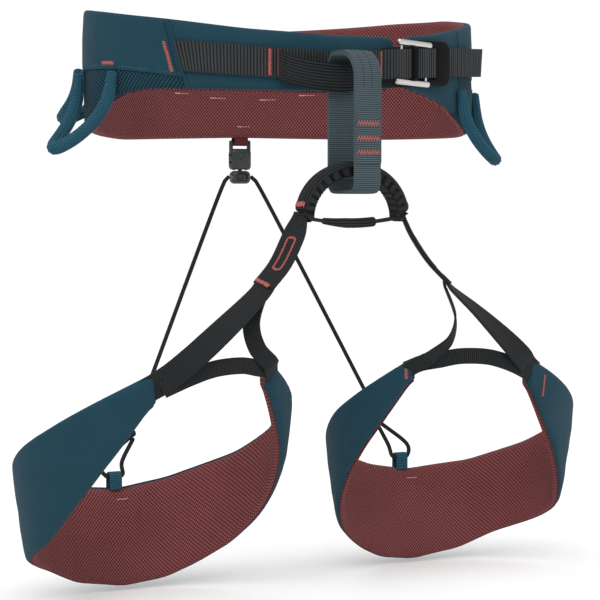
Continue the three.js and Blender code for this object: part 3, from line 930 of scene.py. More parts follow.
@dataclass(frozen=True)
class Band:
    """A padded band on an oval: a foam core under a spacer mesh, with shell cloth rolled over its edges."""

    oval: Oval
    start: float
    end: float
    top: Pairs
    bottom: Pairs
    depth: float
    rim: float
    corner: float
    lean: float = 0.0
    seed: float = 0.0
    roll: float = 2.6
    creases: Pairs = ()
    crease_width: float = 2.4

    def low(self, angle: float) -> float:
        """The height of the lower edge, turned up at the band's rounded corners."""
        return soft_profile(self.bottom, angle) + self.corner_cut(angle)

    def hem(self, angle: float) -> float:
        """The height where the covers turn under, a little over the pad's own lower edge."""
        return self.low(angle) + 1.1

    def high(self, angle: float) -> float:
        """The height of the upper edge, turned down at the band's rounded corners."""
        return soft_profile(self.top, angle) - self.corner_cut(angle)

    def from_end(self, angle: float) -> float:
        """Millimetres to the nearer end of the band."""
        return max(0.0, min(angle - self.start, self.end - angle)) * self.oval.speed(angle)

    def corner_cut(self, angle: float) -> float:
        """How much a rounded corner takes off an edge at an angle."""
        near = self.from_end(angle)
        if near >= self.corner:
            return 0.0
        return self.corner - math.sqrt(self.corner**2 - (self.corner - near) ** 2)

    def at(self, angle: float, out: float, z: float) -> Vector:
        """A point of the band. It thins to a rounded end and leans inward toward its lower edge."""
        near = self.from_end(angle)
        close = 2.4
        thin = math.sqrt(1 - (1 - near / close) ** 2) if near < close else 1.0
        drop = (z - soft_profile(self.top, angle)) / 65 * self.lean
        return self.oval.point(angle, -self.rim + (out + self.rim) * thin + drop, z)

    def ripple(self, angle: float, z: float) -> float:
        """Small soft folds in the cloth, in mm."""
        far = angle * self.oval.speed(angle)
        broad = noise.noise(Vector((far * 0.022, z * 0.035, self.seed)))
        fine = noise.noise(Vector((far * 0.07, z * 0.09, self.seed + 5)))
        return broad * 0.9 + fine * 0.35

    def crease(self, angle: float) -> float:
        """How deep the upright creases in the lining are at an angle, in mm."""
        return sum(
            depth * math.exp(-(((angle - middle) / self.crease_width) ** 2)) for middle, depth in self.creases
        )

    def crown(self, angle: float, z: float) -> float:
        """How far the cover's face falls away toward its edges, in mm, with its soft folds."""
        low, high = self.low(angle), self.high(angle)
        share = abs(2 * clamp((z - low) / max(high - low, 1.0)) - 1)
        return -1.1 * share**4 + self.ripple(angle, z) * (1 - share**6)

    def rolled(self, q: float, low: float, high: float, rolled: Rolled) -> tuple[float, float]:
        """The section of a cover: its distance out and its height at a share of its way up.

        Args:
            q: the share, from the lower end to the upper.
            low: the lower edge's height.
            high: the upper edge's height.
            rolled: which edges are rolled in.
        Returns:
            The distance out and the height, in mm.
        """
        radius = min(self.roll, (high - low) * 0.3)
        flat = self.rim - radius
        flat_share = flat / (flat + radius * math.pi / 2)
        first, last = (0.2 if turned else 0.0 for turned in rolled.value)
        if q < first or q > 1 - last:
            k, edge, way = (q / first, low, 1) if q < first else ((1 - q) / last, high, -1)
            if k < flat_share:
                return -self.rim + flat * k / flat_share, edge
            turn = (k - flat_share) / (1 - flat_share) * math.pi / 2
            return -radius + radius * math.sin(turn), edge + way * radius * (1 - math.cos(turn))
        base = low + (radius if first else 0.0)
        head = high - (radius if last else 0.0)
        return 0.0, mix(base, head, (q - first) / (1 - first - last))

    def cover(
        self,
        name: str,
        sides: tuple[Edge, Edge],
        edges: tuple[Edge, Edge],
        rolled: Rolled,
        steps: tuple[int, int],
        proud: float = 0.0,
    ) -> tuple[Obj, Place]:
        """A panel of shell cloth over the band.

        Args:
            name: the piece's name.
            sides: its two side edges, as angles at a height.
            edges: its lower and upper edge, as heights at an angle.
            rolled: which edges are rolled round the pad.
            steps: the grid's cells along and across.
            proud: how far it stands over its neighbours.
        Returns:
            The piece and its place function.
        """

        def place(s: float, t: float, lift: float) -> Vector:
            """A point of the panel."""
            z = 0.0
            for _ in range(3):
                angle = mix(sides[0](z), sides[1](z), s)
                out, z = self.rolled(t, edges[0](angle), edges[1](angle), rolled)
            if out > -0.01:
                out += self.crown(angle, z)
            else:
                out += self.crown(angle, z) * (self.rim + out) / self.rim
            return self.at(angle, out + lift + proud, z)

        return woven(name, place, steps, 1.0, 0.0), place

    def pad(self, name: str, steps: int, finish: Finish, motion: Motion, *nodes: str) -> Obj:
        """The foam core in its spacer mesh: a crowned, closed form that the covers sit on."""
        radius = self.depth - self.rim
        rings = []
        for i in range(steps + 1):
            share = i / steps
            eased = share - math.sin(TURN * share) / TURN * 0.35
            angle = mix(self.start, self.end, eased)
            low, high = self.low(angle), self.high(angle)
            tall = max(high - low, 3.2)
            round_it = min(radius, tall * 0.35)
            ring = [(-self.rim - round_it * math.sin(a), low + round_it * (1 - math.cos(a))) for a in QUARTER]
            for k in range(1, 14):
                up = k / 14
                swell = (0.7 - self.crease(angle)) * math.sin(math.pi * up) ** 0.6
                z = mix(low + round_it, high - round_it, up)
                ring.append((-self.depth - swell + self.ripple(angle + 40, z) * 0.8, z))
            ring += [
                (-self.rim - round_it * math.sin(a), high - round_it * (1 - math.cos(a)))
                for a in QUARTER[::-1]
            ]
            under = min(1.5, tall * 0.2)
            for out, z in (
                (-self.rim + 0.5, high - under), (-2.6, high - under), (-2.6, mix(low, high, 0.5))
            ):
                ring.append((out, z))
            for out, z in ((-2.6, low + under), (-self.rim + 0.5, low + under)):
                ring.append((out, z))
            rings.append([self.at(angle, out, z) for out, z in ring])
        return dress(loft(name, rings), finish, motion, *nodes)

    def on_lining(self, lift_from: float = 0.3) -> Place:
        """The pad's inner face as a surface to sew on: shares of the band's length and height."""

        def place(s: float, t: float, lift: float) -> Vector:
            """A point on the inner face; lift goes toward the wearer."""
            angle = mix(self.start, self.end, s)
            z = mix(self.low(angle), self.high(angle), t)
            return self.at(angle, -self.depth - 0.6 - lift_from - lift, z)

        return place


QUARTER = [math.pi / 2 * k / 6 for k in range(7)]


def steady(value: float) -> Edge:
    """An edge that has the same value everywhere."""
    return lambda where: value


# ---------- waist belt ----------
WAIST = Oval((3, 0), 149, 80)


@dataclass(frozen=True)
class WaistPad:
    """The belt's padded ring with its five shell panels, two mesh panels, seams and bar tacks."""

    left_end: float = 23.5
    right_end: float = 18.5
    wing_end: float = 112.0
    left_seam: float = 49.0
    top: Pairs = (
        (-180, 22), (-155, 26), (-125, 31), (-100, 29), (-80, 26), (-50, 20), (-26, 14), (0, 11), (19, 11.5),
        (24, 12.5), (38, 16), (49, 20), (75, 28), (100, 32), (125, 31), (155, 26), (180, 22),
    )
    bottom: Pairs = (
        (-180, -55), (-135, -58), (-105, -54), (-90, -46), (-77, -36), (-68, -30), (-58, -27), (-20, -28),
        (0, -28), (19, -25), (24, -24), (35, -30), (45, -36), (55, -46), (70, -53), (90, -55), (135, -56),
        (180, -55),
    )
    wing: Pairs = ((-113, -12), (-72, -13), (-51, -17), (-44, -20), (48, -12), (72, -14), (113, -12))
    right_seam: Pairs = ((-28, -43.0), (20, -49.5))
    dashes: tuple[tuple[float, float, float], ...] = (
        (0.507, 0.494, 0.40), (0.470, 0.456, 0.37), (0.422, 0.408, 0.36), (0.384, 0.371, 0.40),
        (0.443, 0.433, 0.105),
    )

    def band(self) -> Band:
        """The belt as one band that starts at its left end and goes round the back."""
        shift = (
            [(a + 360, z) for a, z in self.top if a < 24],
            [(a + 360, z) for a, z in self.bottom if a < 24],
        )
        top = [pair for pair in self.top if pair[0] > 19] + shift[0][1:]
        bottom = [pair for pair in self.bottom if pair[0] > 19] + shift[1][1:]
        return Band(
            WAIST, self.left_end, self.right_end + 360, top, bottom, depth=10, rim=5.4, corner=6, seed=1.0
        )

    def build(self) -> None:
        """Makes the whole padded belt."""
        band = self.band()
        lining = band.pad("waist_pad", 300, LINING, BELT, "waist_lining", "waist_foam")
        seam = lambda z: 360 + profile(self.right_seam, z)
        wing = lambda angle: soft_profile(self.wing, angle if angle < 200 else angle - 360)
        raised = lambda angle: wing(angle) + 0.3
        right = 360 - self.wing_end
        both = (band.hem, band.high)
        over, under = (raised, band.high), (band.hem, wing)
        panels = (
            ("front_right", SHELL, (lambda z: seam(z) + 0.08, steady(band.end)), both,
             Rolled.BOTH, (90, 34), 0.0),
            ("side_right", SHELL, (steady(right), lambda z: seam(z) - 0.08), over,
             Rolled.TOP, (70, 28), 0.5),
            ("back", SHELL, (steady(self.wing_end + 0.2), steady(right - 0.2)), both,
             Rolled.BOTH, (110, 34), 0.0),
            ("side_left", SHELL, (steady(self.left_seam + 0.2), steady(self.wing_end)), over,
             Rolled.TOP, (70, 28), 0.5),
            ("front_left", SHELL, (steady(band.start), steady(self.left_seam)), both,
             Rolled.BOTH, (40, 34), 0.0),
            ("right", OPEN_MESH, (steady(right), lambda z: seam(z) - 0.08), under,
             Rolled.BOTTOM, (70, 20), 0.0),
            ("left", OPEN_MESH, (steady(self.left_seam + 0.2), steady(self.wing_end)), under,
             Rolled.BOTTOM, (70, 20), 0.0),
        )
        places = {}
        for word, finish, sides, edges, rolled, steps, proud in panels:
            kind = "mesh_" if finish is OPEN_MESH else "shell_"
            piece, places[word] = band.cover("belt_" + kind + word, sides, edges, rolled, steps, proud)
            dress(piece, finish, BELT, "waist_" + kind + word)
            self.declare(rolled, sides, edges)
        self.seams(band, places, seam)
        self.lining_stitches(band)

    def declare(self, rolled: Rolled, sides: tuple[Edge, Edge], edges: tuple[Edge, Edge]) -> None:
        """Works out the flat cut a cover was made from, and keeps nothing of it.

        Its length runs along the belt, and its width takes in the cloth of the rolls.
        """
        start, end = sides[0](0.0), sides[1](0.0)
        angles = [mix(start, end, (i + 0.5) / 24) for i in range(24)]
        length = sum(WAIST.speed(angle) for angle in angles) * (end - start) / 24
        folds = sum(rolled.value)
        widths = [edges[1](angle) - edges[0](angle) + folds * 4.6 for angle in angles]

    def seams(self, band: Band, places: dict[str, Place], seam: Edge) -> None:
        """The cord-like ridge and the stitch row at the front seam, the side seams and the bar tacks."""
        side = places["side_right"]

        def ridge(s: float, t: float, lift: float) -> Vector:
            """A narrow fold of cloth along the front seam."""
            z = mix(band.low(seam(0)) + 1.5, band.high(seam(0)) - 2, s)
            angle = seam(z) + mix(-0.45, 0.45, t)
            return band.at(angle, 0.9 + band.crown(angle, z) + 0.7 * math.sin(math.pi * t) + lift, z)

        dress(woven("waist_seam_fold", ridge, (30, 6), 0.8), SHELL, BELT)
        row = SEWING.walk(side, [(0.974, 0.03), (0.974, 0.78)], 2.3, 0.15)
        SEWING.lay("waist_seam_stitches", SEWING.running(row, 1.4, 0.85), DARK_THREAD, BELT)
        tack = SEWING.walk(side, [(0.945, 0.50), (0.95, 0.07)], 0.75, 0.2)
        SEWING.lay("waist_bar_tack_front", SEWING.satin(tack, 3.2, 0.7), RED_THREAD, BELT)
        small = SEWING.walk(side, [(0.522, 0.092), (0.612, 0.092)], 0.75, 0.2)
        SEWING.lay("waist_bar_tack_side", SEWING.satin(small, 3.0, 0.75), RED_THREAD, BELT)
        left = places["side_left"]
        for name, spots in (("side", [(0.62, 0.26), (0.7, 0.28)]),):
            frames = SEWING.walk(left, spots, 0.75, 0.2)
            SEWING.lay(f"waist_bar_tack_left_{name}", SEWING.satin(frames, 2.9, 0.75), RED_THREAD, BELT)
        for word in ("side_right", "side_left"):
            edge = SEWING.walk(places[word], [(0.02, 0.05), (0.98, 0.05)], 2.6, 0.1)
            SEWING.lay(f"waist_{word}_hem", SEWING.running(edge, 1.7, 0.5), BRIGHT_THREAD, BELT)
        back = places["back"]
        for word, s in (("left", 0.02), ("right", 0.98)):
            frames = SEWING.walk(back, [(s, 0.24), (s, 0.76)], 2.6, 0.1)
            SEWING.lay(f"waist_back_stitches_{word}", SEWING.running(frames, 1.7, 0.5), BRIGHT_THREAD, BELT)

    def lining_stitches(self, band: Band) -> None:
        """Short rows of pale thread that hold the webbing through the lining."""
        inside = band.on_lining()
        stitches = []
        for start, end, height in self.dashes:
            frames = SEWING.walk(inside, [(start, height), (mix(start, end, 0.3), height)], 0.8, 0.1)
            stitches += SEWING.satin(frames, 1.3, 0.6)
            stitches += SEWING.running(
                SEWING.walk(inside, [(start, height), (end, height)], 2.1, 0.1), 1.6, 0.75
            )
        SEWING.lay("lining_stitches", stitches, PALE_THREAD, BELT)


@dataclass(frozen=True)
class WaistWebbing:
    """The flat webbing round the front of the belt, its tail through the buckle and the black flap under the
    buckle.
    """

    width: float = 20.0
    thick: float = 1.7
    lift: float = 8.4
    start: float = -44.7
    lead: float = 2.6
    tuck: float = 20.3
    tail: tuple[float, float] = (22.9, 61.0)
    height: Pairs = (
        (-46, -4.5), (-24, -7.8), (-12, -9.2), (0, -10.5), (11, -8.2), (20, -7), (36, -4.5), (62, -2)
    )

    def strip(
        self, span: tuple[float, float], outs: Pairs, slants: tuple[float, float], ribs: float = 0.14
    ) -> Place:
        """A length of the webbing.

        Args:
            span: the angles where it starts and ends.
            outs: its inner face's distance from the belt at each angle.
            slants: how far its start and its end are cut at an angle, in degrees round the belt.
            ribs: the height of the ribs across it, in mm.
        Returns:
            Its place function.
        """

        def place(s: float, t: float, lift: float) -> Vector:
            """A point on the webbing's outer face."""
            angle = mix(*span, s) - slants[0] * t * (1 - s) ** 12 - slants[1] * (1 - t) * s**12
            out = soft_profile(outs, angle, 0.5) + self.thick
            out += ribs * math.cos(angle * WAIST.speed(angle) / 2.3 * TURN)
            z = soft_profile(self.height, angle) + (t - 0.5) * self.width
            return WAIST.point(angle, out + lift, z)

        return place

    def build(self) -> None:
        """Makes the webbing, its bar tacks and the black flap under the buckle."""
        up = self.lift
        outs = ((9.5, GAP), (11, 1.9), (12.2, 1.9), (14, up), (self.tuck, up))
        main = self.strip((self.start, self.tuck), outs, (self.lead, 0.0))
        dress(woven("belt_webbing", main, (420, 8), self.thick, 0.3), BLACK_WEBBING, BELT, "waist_webbing")
        under = ((29.9, up), (31.3, 0.9), (37, 0.9), (41, 1.0), (50, 4.0), (61, 8.5))
        tail = self.strip(self.tail, under, (0.0, 1.6))
        tail_web = woven("belt_webbing_tail", tail, (300, 8), self.thick, 0.3)
        dress(tail_web, BLACK_WEBBING, BELT, "waist_webbing_tail")

        # a black sheet under the buckle, reaching 6 mm below the webbing and 2 mm above it
        def guard(s: float, t: float, lift: float) -> Vector:
            """A soft flap under the buckle, with rounded ends."""
            angle = mix(11.8, 27, s)
            round_it = 3.5 * (1 - math.sqrt(clamp(1 - (2 * abs(s - 0.5)) ** 6)))
            middle = soft_profile(self.height, angle)
            z = mix(middle - self.width / 2 - 6 + round_it, middle + self.width / 2 + 2 - round_it, t)
            return WAIST.point(angle, 1.5 + lift, z)

        dress(woven("buckle_black_flap", guard, (30, 12), 1.0, 0.2), LEG_WEBBING, BELT, "buckle_guard")
        tacks = []
        for angle, wide in ((-19.6, 2.6), (-17.2, 1.6), (12.2, 1.8)):
            s = (angle - self.start) / (self.tuck - self.start)
            frames = SEWING.walk(main, [(s, 0.08), (s, 0.92)], 0.8, 0.1)
            tacks += SEWING.satin(frames, wide, 0.8)
        SEWING.lay("belt_webbing_tacks", tacks, RED_THREAD, BELT)


@dataclass(frozen=True)
class TieIn:
    """The doubled sleeve on the webbing and the belay loop that hangs on it."""

    ends: tuple[float, float] = (-17.5, 9.2)
    bulge: float = 9.0
    thick: float = 3.0
    loop_width: float = 20.0
    loop_thick: float = 3.2
    loop_depth: float = 40.0
    loop_span: tuple[float, float] = (-97.0, -0.6)
    loop_middle: tuple[float, float] = (1.0, -105.2)
    loop_corners: tuple[float, float, float, float] = (20.0, 9.0, 9.0, 9.0)

    def build(self) -> None:
        """Makes the sleeve and the loop."""
        webbing = WaistWebbing()

        def sleeve(s: float, t: float, lift: float) -> Vector:
            """A point on the sleeve's outer face, crowned across and with ribs along it."""
            angle = mix(*self.ends, s)
            swell = math.sin(s * math.pi) ** 0.5
            out = webbing.thick + 2.4 * GAP + self.bulge * swell + self.thick
            out -= 1.1 * abs(2 * t - 1) ** 4
            out += 0.16 * math.cos(t * 9 * TURN)
            middle = profile(webbing.height, angle) - 8 * swell
            return WAIST.point(angle, out + lift, middle + (t - 0.5) * (webbing.width - 0.6))

        dress(woven("tie_in_sleeve_cover", sleeve, (90, 54), 2.6, 0.4), SLEEVE_WEBBING, BELT, "tie_in_sleeve")
        rows = []
        for ends in (((0.06, 0.13), (0.94, 0.13)), ((0.06, 0.87), (0.94, 0.87)), ((0.05, 0.2), (0.05, 0.8))):
            rows += SEWING.running(SEWING.walk(sleeve, ends, 2.2, 0.1), 1.5, 0.55)
        SEWING.lay("tie_in_sleeve_stitches", rows, DARK_THREAD, BELT)
        self.build_loop()

    def outline(self, share: float, out: float) -> Vector:
        """A point on the loop's outline in the plane of its height and depth.

        Args:
            share: the way round, from the middle of its top toward the front.
            out: how far outside its middle line, in mm.
        Returns:
            The point, at the loop's middle width, in mm.
        """
        half = self.loop_depth / 2 - self.loop_thick / 2
        low, high = self.loop_span[0] + self.loop_thick / 2, self.loop_span[1] - self.loop_thick / 2
        radii = [corner - self.loop_thick / 2 for corner in self.loop_corners]
        sides = (half, high - low, 2 * half, high - low, half)
        legs = []
        for side, before, after in zip(sides, [0.0] + radii, radii + [0.0]):
            legs += [side - before - after, math.pi / 2 * after]
        left = share % 1.0 * sum(legs)
        y, z, heading = 0.0, high, math.pi
        for i, leg in enumerate(legs):
            gone = min(left, leg)
            if i % 2 and gone > 0:
                radius = radii[i // 2]
                turn = gone / radius
                centre_y = y + radius * math.cos(heading + math.pi / 2)
                centre_z = z + radius * math.sin(heading + math.pi / 2)
                y = centre_y + radius * math.cos(heading - math.pi / 2 + turn)
                z = centre_z + radius * math.sin(heading - math.pi / 2 + turn)
                heading += turn
            elif gone > 0:
                y += gone * math.cos(heading)
                z += gone * math.sin(heading)
            left -= gone
            if left <= 1e-9:
                break
        y += out * math.cos(heading - math.pi / 2)
        z += out * math.sin(heading - math.pi / 2)
        return Vector((self.loop_middle[0], self.loop_middle[1] + y, z))

    def build_loop(self) -> None:
        """Makes the loop of webbing, the layer that closes it and its bar tacks."""
        motion = Motion("belay_loop")

        def band(s: float, t: float, lift: float) -> Vector:
            """A point on the loop's outer face."""
            spot = self.outline(s, self.loop_thick / 2 - 0.9 + 0.05 * math.cos(s * 240 * TURN) + lift)
            ease = 0.35 * abs(2 * t - 1) ** 6
            spot += (self.outline(s, 0.0) - self.outline(s, 1.0)) * ease
            spot.x += (t - 0.5) * self.loop_width
            return spot * MM

        def layer(s: float, t: float, lift: float) -> Vector:
            """A point on the layer sewn over the front of the loop."""
            return band(mix(0.93, 1.347, s), mix(0.01, 0.99, t), lift + 0.95)

        loop = woven("belay_loop_webbing", band, (300, 10), 2.2, 0.35, joined=True)
        dress(loop, GREY_WEBBING, motion, "belay_loop")
        dress(woven("belay_loop_layer", layer, (140, 10), 0.85, 0.2), GREY_WEBBING, motion)
        tacks = []
        for s in (0.742, 0.84, 0.93):
            frames = SEWING.walk(layer, [(s, 0.1), (s, 0.88)], 1.0, 0.2)
            tacks += SEWING.satin(frames, 4.6, 0.7, slant=0.5)
        SEWING.lay("belay_loop_tacks", tacks, RED_THREAD, motion)
        rows = []
        for t in (0.3, 0.62):
            rows += SEWING.running(SEWING.walk(layer, [(0.05, t), (0.5, t)], 2.0, 0.05), 1.6, 0.5)
        SEWING.lay("belay_loop_stitches", rows, DARK_THREAD, motion)


# ---------- buckle ----------
def set_on_belt(piece: Obj, angle: float, out: float, z: float) -> Obj:
    """Moves a mesh made flat (x along the belt, y up, z outward) to its place on the belt."""
    turn = math.radians(angle)
    along = Vector((WAIST.half_width * math.cos(turn), WAIST.half_depth * math.sin(turn), 0)).normalized()
    up = Vector((0.0, 0.0, 1.0))
    matrix = Matrix((along, up, along.cross(up))).transposed().to_4x4()
    matrix.translation = WAIST.point(angle, out, z)
    piece.data.transform(matrix)
    return piece


@dataclass(frozen=True)
class Buckle:
    """The belt's buckle: a black plate with a window and a steel slide frame with round bars."""

    plate_angle: float = 29.6
    plate_size: tuple[float, float, float] = (34.0, 31.0, 1.8)
    plate_more: float = 4.0
    tilt: float = 3.0
    plate_out: float = 3.4
    window: tuple[float, float, float] = (-13.0, 5.0, 11.5)
    frame_angle: float = 22.7
    frame_length: float = 32.0
    frame_height: float = 31.0
    frame_out: float = 6.1
    bar: float = 4.2
    bar_angle: float = 21.6
    bar_out: float = 8.6

    def build(self) -> None:
        """Makes the plate and the frame."""
        heights = WaistWebbing().height
        long, tall, thick = self.plate_size
        more = self.plate_more
        plate = block("buckle_black_plate", (long + more, tall, thick), (more / 2, 0, thick / 2), 0)
        self.round_corners(plate, 6.0)
        low, high, half = self.window
        hole = block("window", (high - low, half * 2, thick * 4), ((low + high) / 2, 0, 0), 0)
        self.round_corners(hole, 1.6)
        combine(plate, hole, "DIFFERENCE")
        apply_modifier(
            plate, "BEVEL", width=0.5 * MM, segments=3, limit_method="ANGLE", angle_limit=math.radians(60)
        )
        smooth(plate, 35.0)
        set_on_belt(plate, self.plate_angle, self.plate_out, profile(heights, self.plate_angle))
        dress(plate, BLACK_METAL, BELT, "buckle_plate")

        bar = block("buckle_middle_bar", (5.2, 22.4, 2.6), (0, 0, 1.3), 0.9)
        smooth(bar, 35.0)
        set_on_belt(bar, self.bar_angle, self.bar_out, profile(heights, self.bar_angle))
        dress(bar, BLACK_METAL, BELT)

        reach = self.frame_height / 2 - self.bar / 2
        size = (self.frame_length, self.bar, self.bar * 0.86)
        slide = block("buckle_slide_frame", size, (-1.6, reach, 1.9), 1.75, 6)
        combine(slide, block("bar", size, (-2.4, -reach, 1.9), 1.75, 6), "UNION")
        for x in (-self.frame_length / 2 + 3.0, self.frame_length / 2 - 5.0):
            combine(slide, block("post", (2.0, 2 * reach, 1.2), (x, 0, 0.65), 0.4, 2), "UNION")
        slide.rotation_euler.z = -math.radians(self.tilt)
        pick(slide)
        bpy.ops.object.transform_apply(location=False, rotation=True, scale=False)
        smooth(slide, 35.0)
        set_on_belt(slide, self.frame_angle, self.frame_out, profile(heights, self.frame_angle))
        dress(slide, STEEL, Motion("buckle_frame"), "buckle_frame")

    def round_corners(self, piece: Obj, radius: float) -> None:
        """Rounds a flat block's four upright edges."""
        pick(piece)
        bpy.ops.object.mode_set(mode="EDIT")
        bpy.ops.mesh.select_mode(type="EDGE")
        bpy.ops.mesh.select_all(action="DESELECT")
        bpy.ops.object.mode_set(mode="OBJECT")
        points = piece.data.vertices
        for edge in piece.data.edges:
            a, b = (points[index].co for index in edge.vertices)
            edge.select = abs(a.z - b.z) > 0.0005
        bpy.ops.object.mode_set(mode="EDIT")
        bpy.ops.mesh.bevel(offset=radius * MM, segments=6, affect="EDGES")
        bpy.ops.object.mode_set(mode="OBJECT")


# ---------- straps ----------
@lru_cache(maxsize=None)
def even_way(points: tuple[tuple[float, float, float], ...]) -> list[Vector]:
    """The smooth way through the points, as points an even distance apart."""
    return evenly([Vector(spot) for spot in points], 41)


@dataclass(frozen=True)
class Strap:
    """A flat strap along a smooth curve whose width turns from one direction to another."""

    points: tuple[tuple[float, float, float], ...]
    widths: tuple[float, float]
    thick: float
    across: tuple[tuple[float, float, float], tuple[float, float, float]]
    face: tuple[float, float, float]
    side: int = 1

    def on_side(self, spot: Sequence[float]) -> Vector:
        """A point or direction written for the wearer's left, placed on this strap's side."""
        return Vector((self.side * spot[0], spot[1], spot[2]))

    def place(self, s: float, t: float, lift: float) -> Vector:
        """A point on the strap's outer face."""
        line = even_way(self.points)
        centre = self.on_side(spline(line, s))
        ahead = self.on_side(spline(line, min(s + 0.02, 1)) - spline(line, max(s - 0.02, 0))).normalized()
        aside = self.on_side(self.across[0]).lerp(self.on_side(self.across[1]), s)
        aside = (aside - ahead * aside.dot(ahead)).normalized()
        out = aside.cross(ahead)
        if out.dot(self.on_side(self.face)) < 0:
            out = -out
        width = mix(self.widths[0], self.widths[1], s)
        return (centre + out * (self.thick / 2 + lift) + aside * (t - 0.5) * width) * MM


@dataclass(frozen=True)
class Bridge:
    """The arch between the leg straps, in its smooth sleeve, and the cross strap at its foot."""

    y: float = -105.0
    half_span: float = 38.0
    top: float = -78.0
    foot: float = -111.0
    width: float = 14.0
    thick: float = 5.0

    def arch(self, s: float, out: float, aside: float) -> Vector:
        """A point of the arch, standing out from its middle line and set aside along the depth."""
        turn = math.pi * (1 - s)
        rise = self.top - self.foot
        x, z = self.half_span * math.cos(turn), self.foot + rise * math.sin(turn)
        slope = Vector((rise * math.cos(turn), 0, self.half_span * math.sin(turn))).normalized()
        return (Vector((x, self.y + aside, z)) + slope * out) * MM

    def build(self) -> None:
        """Makes the ribbed core, its sleeve and the cross strap."""

        def core(s: float, t: float, lift: float) -> Vector:
            """The bunched webbing inside the arch."""
            bunch = math.cos(s * 38 * TURN)
            aside = (t - 0.5) * (self.width - 1.6 + 0.9 * bunch)
            return self.arch(mix(0.015, 0.985, s), 1.0 + 0.6 * bunch + lift, aside)

        def sleeve(s: float, t: float, lift: float) -> Vector:
            """The smooth sleeve over the outside of the arch."""
            turned = abs(2 * t - 1)
            out = self.thick / 2 + 0.9 - 2.6 * turned**4 + 0.12 * math.cos(t * 10 * TURN) + lift
            return self.arch(mix(0.045, 0.955, s), out, (t - 0.5) * (self.width + 0.8))

        dress(woven("bridge_core", core, (340, 8), 7.2, 0.4), LEG_WEBBING, BELT, "leg_bridge")
        dress(woven("bridge_sleeve", sleeve, (110, 40), 1.3, 0.3), SLEEVE_WEBBING, BELT)
        tacks = []
        for s in (0.03, 0.975):
            tacks += SEWING.satin(SEWING.walk(sleeve, [(s, 0.12), (s, 0.88)], 0.8, 0.1), 4.2, 0.8)
        SEWING.lay("bridge_tacks", tacks, RED_THREAD, BELT)

        span = self.half_span - self.thick / 2 - GAP
        level = self.foot - 1

        def tie(s: float, t: float, lift: float) -> Vector:
            """The thin strap between the two feet of the arch."""
            z = level - 3.5 * math.sin(s * math.pi) + lift + 1.0
            return Vector((mix(-span, span, s), self.y + (t - 0.5) * 9, z)) * MM

        def wrap(s: float, t: float, lift: float) -> Vector:
            """The folded sleeve round the middle of the cross strap."""
            share = mix(0.2, 0.72, s)
            turn = TURN * t
            z = level - 3.5 * math.sin(share * math.pi)
            tall = mix(2.2, 3.3, clamp(s * 2.4)) + lift
            return Vector(
                (mix(-span, span, share), self.y + (5.2 + lift) * math.cos(turn), z + tall * math.sin(turn))
            ) * MM

        dress(woven("cross_strap_web", tie, (60, 6), 2.0, 0.4), LEG_WEBBING, BELT, "bridge_cross_strap")
        rings = [[wrap(i / 30, j / 28, 0.0) for j in range(28)] for i in range(31)]
        dress(loft("cross_strap_sleeve", rings), SLEEVE_WEBBING, BELT)
        edges = []
        for t in (0.62, 0.88):
            edges += SEWING.running(SEWING.walk(wrap, [(0.05, t), (0.95, t)], 2.2, 0.1), 1.5, 0.5)
        SEWING.lay("cross_strap_stitches", edges, DARK_THREAD, BELT)


